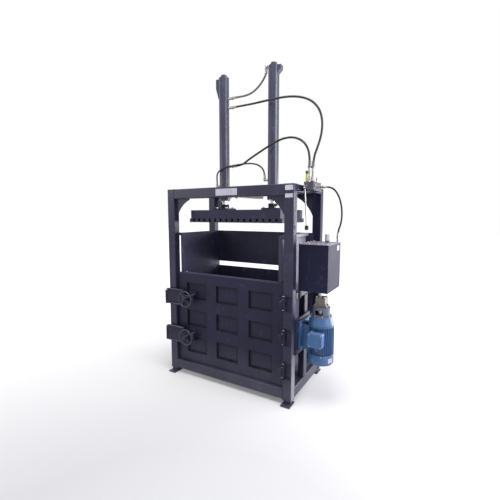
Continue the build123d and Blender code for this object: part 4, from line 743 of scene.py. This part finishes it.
def screw_size(head_width, head_height, washer_width, washer_thickness):
    """The screw tree's own inputs, by name."""
    labels = ("Head width", "Head height", "Washer width", "Washer thickness")
    return dict(zip(labels, (head_width, head_height, washer_width, washer_thickness)))


# %% Where the screws go
UP = (0, 0, 1)
DOWN = (0, 0, -1)
FRONT = (0, -1, 0)
RIGHT = (1, 0, 0)


def ring(centre, radius, count, start_angle=0.0):
    """Points evenly round an upright axis."""
    turns = [start_angle + 2 * math.pi * n / count for n in range(count)]
    return [(centre[0] + radius * math.cos(t), centre[1] + radius * math.sin(t), centre[2]) for t in turns]


def grid(low, high, columns, rows):
    """Points in a flat grid between two corners, one number of columns by one of rows."""
    across = [low[0] + (high[0] - low[0]) * n / max(columns - 1, 1) for n in range(columns)]
    along = [low[1] + (high[1] - low[1]) * n / max(rows - 1, 1) for n in range(rows)]
    return [(a, b) for a in across for b in along]


def edge_grid(low, high, columns, rows):
    """Only the points of such a grid that lie on its border."""
    border = []
    for a, b in grid(low, high, columns, rows):
        if a in (low[0], high[0]) or b in (low[1], high[1]):
            border.append((a, b))
    return border


lid_low, lid_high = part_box("tank_lid")
LID_SHEET_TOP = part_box("oil_tank")[1][2] + 0.005
LID_INSET = 0.016
lid_places = edge_grid(
    (lid_low[0] + LID_INSET, lid_low[1] + LID_INSET),
    (lid_high[0] - LID_INSET, lid_high[1] - LID_INSET),
    4,
    5,
)
lid_screws = [((a, b, LID_SHEET_TOP), UP) for a, b in lid_places]
LID_SCREW = screw_size(0.011, 0.005, 0.016, 0.0012)
place_all("tank_lid_screws", lid_screws, screw_tree, LID_SCREW, "bright_steel")

# %% Gland, bell, pump and valve screws
gland_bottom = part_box("cylinder_glands")[0][2]
gland_screws = [
    (point, DOWN)
    for x in (-0.3, 0.3)
    for point in ring((x, 0.06, gland_bottom), 0.046, 6)
]
bell_low, bell_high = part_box("bell_housing")
motor_axis = ((bell_low[0] + bell_high[0]) / 2, (bell_low[1] + bell_high[1]) / 2)
bell_screws = [
    (point, UP)
    for point in ring((*motor_axis, bell_low[2] + 0.012), 0.0875, 8, math.radians(22.5))
]
pump_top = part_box("hydraulic_pump")[1][2]
pump_screws = [
    ((motor_axis[0] + a, motor_axis[1] + b, pump_top), UP)
    for a, b in grid((-0.034, -0.034), (0.034, 0.034), 2, 2)
]
flange_screws = [
    ((motor_axis[0] + a * 0.0505, motor_axis[1] + b * 0.028, bell_high[2] + 0.015), UP)
    for a in (-1, 1)
    for b in (-1, 1)
]
VALVE_TOP = 2.025
VALVE_SIDE = 0.835
valve_screws = [((0.826, y, VALVE_TOP), UP) for y in (-0.166, -0.108, -0.038)]
valve_screws += [((0.756, y, VALVE_TOP), UP) for y in (-0.118, -0.038)]
valve_screws.append(((0.787, -0.214, VALVE_TOP), UP))
valve_plugs = [((VALVE_SIDE, y, 1.988), RIGHT) for y in (-0.19, -0.14, -0.09)]
unit_screws = gland_screws + bell_screws + pump_screws + flange_screws + valve_screws
UNIT_SCREW = screw_size(0.013, 0.006, 0.017, 0.0012)
PLUG = screw_size(0.022, 0.007, 0.026, 0.002)
place_all("unit_screws", unit_screws, screw_tree, UNIT_SCREW, "bright_steel")
place_all("valve_plugs", valve_plugs, screw_tree, PLUG, "fitting_steel")

# %% Terminal box and fan cover screws
box_low, box_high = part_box("terminal_box")
BOX_INSET = 0.013
BOX_BOTTOM = 0.568
box_places = grid(
    (box_low[0] + BOX_INSET, BOX_BOTTOM + BOX_INSET),
    (box_high[0] - BOX_INSET, box_high[2] - BOX_INSET),
    2,
    2,
)
box_screws = [((a, box_low[1], b), FRONT) for a, b in box_places]
fan_low, fan_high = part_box("fan_cover")
fan_radius = (fan_high[0] - fan_low[0]) / 2
fan_screws = []
for turn in (20, 110, 200, 290):
    way = (math.cos(math.radians(turn)), math.sin(math.radians(turn)), 0)
    at = (motor_axis[0] + way[0] * fan_radius, motor_axis[1] + way[1] * fan_radius, fan_high[2] - 0.012)
    fan_screws.append((at, way))
TINY_SCREW = screw_size(0.008, 0.003, 0.011, 0.0008)
place_all("motor_screws", box_screws + fan_screws, screw_tree, TINY_SCREW, "bright_steel")

# %% [markdown]
# ## The motor's rating plate
# A small bright plate is wrapped round the fan cover, low on the right. It is left blank. A thin
# sheet bent to the cover's radius is two arcs of corners, one inside and one outside, joined
# into a closed strip.

# %% Rating plate
PLATE_TURNS = (-38, -14)
PLATE_HEIGHTS = (0.41, 0.452)
PLATE_THICKNESS = 0.0008
PLATE_STEPS = 8
arc = []
for n in range(PLATE_STEPS + 1):
    turn = math.radians(PLATE_TURNS[0] + (PLATE_TURNS[1] - PLATE_TURNS[0]) * n / PLATE_STEPS)
    for radius, z in (
        (fan_radius, PLATE_HEIGHTS[0]),
        (fan_radius, PLATE_HEIGHTS[1]),
        (fan_radius + PLATE_THICKNESS, PLATE_HEIGHTS[1]),
        (fan_radius + PLATE_THICKNESS, PLATE_HEIGHTS[0]),
    ):
        arc.append((motor_axis[0] + radius * math.cos(turn), motor_axis[1] + radius * math.sin(turn), z))
faces = [(0, 1, 2, 3), tuple(range(4 * PLATE_STEPS + 3, 4 * PLATE_STEPS - 1, -1))]
for n in range(PLATE_STEPS):
    for corner in range(4):
        following = (corner + 1) % 4
        near, far = 4 * n, 4 * (n + 1)
        faces.append((near + following, near + corner, far + corner, far + following))
rating_mesh = bpy.data.meshes.new("motor_rating_plate")
rating_mesh.from_pydata(arc, [], faces)
rating_mesh.materials.append(finishes["blank_plate"])
rating_plate = bpy.data.objects.new("motor_rating_plate", rating_mesh)
scene.collection.objects.link(rating_plate)
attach(rating_plate, "frame")
print("rating plate faces:", len(faces))

# %% [markdown]
# ## Rivets on the blank plates
# The plates are held by a blind rivet in each corner: a low dome, which is a ball squashed flat.
# The hinges' grease nipples are higher domes from the same tree.

# %% Rivets and grease nipples
rivet_tree, given, result = repeat_tree("Rivets", [("Radius", FLOAT, 0.003), ("Rise", FLOAT, 0.0012)])
dome_size = (given["Radius"], given["Radius"], given["Rise"])
put_on_places(rivet_tree, given, result, smooth_ball(rivet_tree, 12, 6, 1.0, dome_size))

PLATE_FACE = -0.402
RIVET_INSET = 0.006
front_plates = (
    (-0.0905, 1.918, 0.1545, 1.982),
    (0.644, 1.945, 0.716, 1.987),
    (0.644, 1.881, 0.716, 1.915),
)
rivets = []
for x0, z0, x1, z1 in front_plates:
    corners = grid((x0 + RIVET_INSET, z0 + RIVET_INSET), (x1 - RIVET_INSET, z1 - RIVET_INSET), 2, 2)
    rivets += [((a, PLATE_FACE, b), FRONT) for a, b in corners]
place_all("plate_rivets", rivets, rivet_tree, {"Radius": 0.003, "Rise": 0.0012}, "bright_steel")

HINGE_HEIGHTS = (0.326, 0.636, 0.946)
nipples = [((0.65, -0.441, z + lift), FRONT) for z in HINGE_HEIGHTS for lift in (0.048, -0.048)]
place_all("grease_nipples", nipples, rivet_tree, {"Radius": 0.0035, "Rise": 0.0035}, "bright_steel")

# %% [markdown]
# ## Weld beads
# The frame is tube welded to tube. A weld bead is a row of overlapping ripples along the seam.
# The seams are drawn as single edges, the tree turns them into curves, puts a squashed ball at
# every step along them and lets the balls overlap.

# %% Weld tree
RIPPLE_OVERLAP = 1.7
weld_tree, given, result = repeat_tree("Weld beads", [("Step", FLOAT, 0.007), ("Width", FLOAT, 0.007)])
seam_curves = add(weld_tree, "GeometryNodeMeshToCurve", {0: given["Geometry"]})
step_inputs = {"Curve": seam_curves.outputs[0], "Length": given["Step"]}
steps = add(weld_tree, "GeometryNodeCurveToPoints", step_inputs, mode="LENGTH").outputs
ripple_length = math_node(weld_tree, "MULTIPLY", given["Step"], RIPPLE_OVERLAP)
ripple_size = (given["Width"], given["Width"], ripple_length)
ripple = smooth_ball(weld_tree, 8, 5, 0.5, ripple_size)
put_on_points(weld_tree, given, result, ripple, steps["Points"], steps["Rotation"])


def weld(name, seams, step, width, finish_name, body="frame"):
    """Weld beads along a list of seams, each a pair of ends that makes one loose edge."""
    mesh = bpy.data.meshes.new(name + "_seams")
    ends = [point for seam in seams for point in seam]
    edges = [(2 * n, 2 * n + 1) for n in range(len(seams))]
    mesh.from_pydata(ends, edges, [])
    settle(name, mesh, weld_tree, {"Step": step, "Width": width}, finish_name, body)


def outline(corners):
    """The seams round a flat outline."""
    return list(zip(corners, corners[1:] + corners[:1]))


def upright(x, y, heights):
    """An upright seam between two heights."""
    low, high = heights
    return ((x, y, low), (x, y, high))


def level(x, reach, z):
    """A level seam that runs from front to back between two depths."""
    near, far = reach
    return ((x, near, z), (x, far, z))


# %% Frame seams
INNER_X = 0.635
OUTER_X = 0.725
COLUMN_FRONT = -0.4
COLUMN_BACK = 0.4
GUSSET_FRONT = -0.365
GUSSET_BACK = 0.355
FRAME_TOP = 2.0
RAIL_TOP = 1.035
BASE_BEAM = (0.058, 0.142)
SIDE_RAIL = (0.983, 1.027)
DEEP_BEAM = (1.908, 1.992)
SHALLOW_BEAM = (1.958, 1.992)
MIDDLE_POST = (-0.092, -0.028)
BEARER_HALF = 0.022
frame_seams = []
for side in (-1, 1):
    x = side * INNER_X
    frame_seams += [
        upright(x, COLUMN_FRONT, DEEP_BEAM),
        upright(x, COLUMN_FRONT, BASE_BEAM),
        upright(x, COLUMN_BACK, BASE_BEAM),
        upright(x, COLUMN_BACK, SHALLOW_BEAM),
        level(x, (-0.392, -0.328), FRAME_TOP),
        level(x, (0.328, 0.392), FRAME_TOP),
        upright(x, GUSSET_FRONT, (1.74, 1.9)),
        ((x - side * 0.16, GUSSET_FRONT, 1.9), (x, GUSSET_FRONT, 1.9)),
        upright(x, GUSSET_BACK, (1.75, 1.95)),
        ((x - side * 0.2, GUSSET_BACK, 1.95), (x, GUSSET_BACK, 1.95)),
    ]
    outer = side * OUTER_X
    for y in (-0.32, 0.32):
        frame_seams += [upright(outer, y, beam) for beam in (BASE_BEAM, SIDE_RAIL, SHALLOW_BEAM)]
        for z in (FRAME_TOP, RAIL_TOP):
            frame_seams.append(((side * 0.673, y, z), (side * 0.717, y, z)))
    frame_seams += [level(outer, MIDDLE_POST, 0.975), level(outer, MIDDLE_POST, 0.15)]
    for y in (-0.035, 0.155):
        for edge in (-BEARER_HALF, BEARER_HALF):
            frame_seams.append(level(side * 0.052, (y + edge, y + edge + 0.004), 1.997))
        for inset in (0.665, 0.05):
            frame_seams.append(level(side * inset, (y - BEARER_HALF, y + BEARER_HALF), FRAME_TOP))
weld("frame_welds", frame_seams, 0.006, 0.007, "frame_paint")

# %% Door seams
LATTICE_BACK = lattice_high[1]
LATTICE_FRONT = lattice_low[1]
LEAF_LEFT, LEAF_RIGHT = 0.54, 0.6
LEAF_HALF = 0.04
door_seams = []
for column, row in grid((-1, -1), (1, 1), 3, 3):
    x = door_centre[0] + column * WINDOW_PITCH[0]
    z = door_centre[1] + row * WINDOW_PITCH[2]
    left, right = x - WINDOW_HALF[0], x + WINDOW_HALF[0]
    low, high = z - WINDOW_HALF[1], z + WINDOW_HALF[1]
    corners = ((left, low), (right, low), (right, high), (left, high))
    door_seams += outline([(a, LATTICE_BACK, b) for a, b in corners])
for z in HINGE_HEIGHTS:
    for edge in (z - LEAF_HALF, z + LEAF_HALF):
        door_seams.append(((LEAF_LEFT, LATTICE_FRONT, edge), (LEAF_RIGHT, LATTICE_FRONT, edge)))
    door_seams.append(upright(LEAF_LEFT, LATTICE_FRONT, (z - LEAF_HALF, z + LEAF_HALF)))
weld("door_welds", door_seams, 0.007, 0.006, "door_paint", "door")

# %% Tank and mount plate seams
TANK_LEFT, TANK_RIGHT = 0.735, 1.0
TANK_FRONT, TANK_BACK = -0.293, 0.082
TANK_BOTTOM, TANK_TOP = 1.057, 1.473
tank_corners = (
    (TANK_LEFT, TANK_FRONT),
    (TANK_RIGHT, TANK_FRONT),
    (TANK_RIGHT, TANK_BACK),
    (TANK_LEFT, TANK_BACK),
)
tank_seams = [upright(x, y, (TANK_BOTTOM, TANK_TOP - 0.004)) for x, y in tank_corners]
tank_seams += outline([(x, y, TANK_BOTTOM) for x, y in tank_corners])
weld("tank_welds", tank_seams, 0.005, 0.004, "tank_paint")
plate_seams = [upright(OUTER_X, -0.35, (0.475, 0.795))]
plate_seams += [level(OUTER_X, MIDDLE_POST, z) for z in (0.47, 0.8)]
weld("mount_plate_welds", plate_seams, 0.006, 0.007, "frame_paint")

# %% [markdown]
# ## Hose ends
# Each hose is crimped into a steel sleeve with grooves, and the sleeve ends in a hexagon nut on
# the adaptor. The tree stacks ridges on a drum, and the places carry the hose's direction.

# %% Sleeve tree
sleeve_tree, given, result = repeat_tree(
    "Crimped sleeves",
    [
        ("Hose radius", FLOAT, 0.01),
        ("Length", FLOAT, 0.04),
        ("Ridges", "NodeSocketInt", 5),
        ("Nut width", FLOAT, 0.03),
        ("Nut height", FLOAT, 0.016),
    ],
)
sleeve_radius = math_node(sleeve_tree, "ADD", given["Hose radius"], 0.0022)
ridge_radius = math_node(sleeve_tree, "ADD", given["Hose radius"], 0.0034)
nut_radius = math_node(sleeve_tree, "MULTIPLY", given["Nut width"], HEXAGON_SHARE)
ridge_pitch = math_node(sleeve_tree, "DIVIDE", given["Length"], given["Ridges"])
ridge_depth = math_node(sleeve_tree, "MULTIPLY", ridge_pitch, 0.5)
first_ridge = math_node(sleeve_tree, "ADD", given["Nut height"], ridge_depth)
first_place = add(sleeve_tree, "ShaderNodeCombineXYZ", {"Z": first_ridge})
ridge_offset = add(sleeve_tree, "ShaderNodeCombineXYZ", {"Z": ridge_pitch})
line_inputs = {
    "Count": given["Ridges"],
    "Start Location": first_place.outputs[0],
    "Offset": ridge_offset.outputs[0],
}
ridge_line = add(sleeve_tree, "GeometryNodeMeshLine", line_inputs)
ridge_inputs = {"Vertices": 24, "Radius": ridge_radius, "Depth": ridge_depth}
ridge = add(sleeve_tree, "GeometryNodeMeshCylinder", ridge_inputs)
ridges_inputs = {"Points": ridge_line.outputs[0], "Instance": ridge.outputs[0]}
ridges = add(sleeve_tree, "GeometryNodeInstanceOnPoints", ridges_inputs)
sleeve = add(sleeve_tree, "GeometryNodeJoinGeometry")
nut_base = math_node(sleeve_tree, "MULTIPLY", given["Nut height"], -0.5)
for shape in (
    ridges.outputs[0],
    drum(sleeve_tree, 24, sleeve_radius, given["Length"], given["Nut height"]),
    drum(sleeve_tree, 6, nut_radius, given["Nut height"], nut_base),
    drum(sleeve_tree, 24, ridge_radius, given["Nut height"], 0.0),
):
    sleeve_tree.links.new(shape, sleeve.inputs[0])
put_on_places(sleeve_tree, given, result, sleeve.outputs[0])


# %% Sleeves on every hose end
def hose_end(name, first):
    """One end of a hose, with the direction in which the hose leaves."""
    points = [Vector(p) for p in hoses[name]]
    if not first:
        points.reverse()
    return points[0], (points[1] - points[0]).normalized()


def sleeve_size(hose_diameter, length, nut_width, nut_height):
    """The sleeve tree's own inputs, by name; every sleeve has five ridges."""
    labels = ("Hose radius", "Length", "Ridges", "Nut width", "Nut height")
    return dict(zip(labels, (hose_diameter / 2, length, 5, nut_width, nut_height)))


THICK_SLEEVE = sleeve_size(THICK_HOSE, 0.036, 0.031, 0.016)
SLIM_SLEEVE = sleeve_size(SLIM_HOSE, 0.03, 0.026, 0.013)
supplies = ("cap_supply_hose_line", "rod_supply_hose_line")
slim_hoses = ("rod_link_hose_line", "return_hose_line")
valve_ends = [hose_end(name, True) for name in supplies]
barrel_ends = [hose_end(name, False) for name in supplies]
barrel_ends += [hose_end("cap_link_hose_line", first) for first in (True, False)]
slim_ends = [hose_end(name, first) for name in slim_hoses for first in (True, False)]
place_all("valve_hose_sleeves", valve_ends, sleeve_tree, THICK_SLEEVE, "gland_steel")
place_all("barrel_hose_sleeves", barrel_ends, sleeve_tree, THICK_SLEEVE, "fitting_steel")
place_all("slim_hose_sleeves", slim_ends, sleeve_tree, SLIM_SLEEVE, "fitting_steel")

# %% [markdown]
# ## The studio
# A pale floor that runs to the horizon and a pale world. What the camera and the shiny parts see
# of the world is white; what lights the machine is softer. A wide soft lamp behind on the right
# draws the bright lines down the columns and a nearer panel those on the barrels. Two more lamps
# fill in from the front left and from above.

# %% Floor
FLOOR_SIZE = 60.0
FLOOR_DROP = 0.0005
FLOOR_GREY = 0.6
FAR_LIFT = 0.8
GREY_MIDDLE = (0.9, -2.3, 0.0)
GREY_REACH = 1.2
WHITE_REACH = 5.5
floor_mesh = bpy.data.meshes.new("studio_floor")
reach = FLOOR_SIZE / 2
floor_corners = [(-reach, -reach, 0), (reach, -reach, 0), (reach, reach, 0), (-reach, reach, 0)]
floor_mesh.from_pydata(floor_corners, [], [(0, 1, 2, 3)])
floor = bpy.data.objects.new("studio_floor", floor_mesh)
floor.location.z = -FLOOR_DROP
scene.collection.objects.link(floor)
floor_paint = bpy.data.materials.new("studio_floor")
floor_paint.use_nodes = True
floor_tree = floor_paint.node_tree
floor_shader = floor_tree.nodes["Principled BSDF"]
floor_shader.inputs["Base Color"].default_value = grey(FLOOR_GREY)
floor_shader.inputs["Roughness"].default_value = 0.9
floor_shader.inputs["Specular IOR Level"].default_value = 0.1


def seen_rays(tree):
    """One where the camera, a mirror or a glass looks, and zero where light is gathered."""
    rays = add(tree, "ShaderNodeLightPath").outputs
    seen = math_node(tree, "MAXIMUM", rays["Is Camera Ray"], rays["Is Glossy Ray"])
    return math_node(tree, "MAXIMUM", seen, rays["Is Transmission Ray"])


floor_place = object_place(floor_tree)
distance = add(floor_tree, "ShaderNodeVectorMath", {0: floor_place, 1: GREY_MIDDLE}, operation="DISTANCE")
lift = remap(floor_tree, distance.outputs["Value"], GREY_REACH, WHITE_REACH, 0.0, FAR_LIFT)
lift = math_node(floor_tree, "MULTIPLY", seen_rays(floor_tree), lift)
floor_tree.links.new(lift, floor_shader.inputs["Emission Strength"])
floor_shader.inputs["Emission Color"].default_value = grey(1.0)
floor_mesh.materials.append(floor_paint)

# %% World
WORLD_LIGHT = 0.56
LIGHT_COLOUR = (0.93, 0.93, 1.0, 1)
world = bpy.data.worlds.new("studio")
scene.world = world
world.use_nodes = True
sky = world.node_tree
background = sky.nodes["Background"]
seen = seen_rays(sky)
sky.links.new(mix_colour(sky, seen, LIGHT_COLOUR, grey(1.0)), background.inputs["Color"])
sky_strength = math_node(sky, "MULTIPLY", seen, 1.0 - WORLD_LIGHT)
sky.links.new(math_node(sky, "ADD", sky_strength, WORLD_LIGHT), background.inputs["Strength"])


# %% Lamps
def lamp(name, place, target, size, power, colour):
    """A soft rectangular lamp turned towards a target and out of the camera's sight."""
    data = bpy.data.lights.new(name, "AREA")
    data.shape = "RECTANGLE"
    data.size, data.size_y = size
    data.energy = power
    data.color = colour
    light = bpy.data.objects.new(name, data)
    light.location = place
    light.visible_camera = False
    light.rotation_euler = (Vector(target) - Vector(place)).to_track_quat("-Z", "Y").to_euler()
    scene.collection.objects.link(light)


COOL = (0.95, 0.95, 1.0)
lamp("right_window", (4.4, 3.8, 1.3), (0.6, 0.0, 1.0), (3.4, 2.6), 235, COOL)
lamp("right_panel", (4.0, -0.25, 3.3), (0.3, 0.0, 2.6), (2.6, 3.0), 165, COOL)
lamp("front_left_panel", (-3.6, -3.9, 2.8), (-0.4, -0.3, 2.0), (1.8, 1.2), 20, (0.97, 0.97, 1.0))
lamp("top_panel", (0.3, -1.2, 5.4), (0.1, 0.0, 1.3), (2.4, 2.4), 170, (1.0, 1.0, 1.0))
scene.view_settings.view_transform = "Standard"
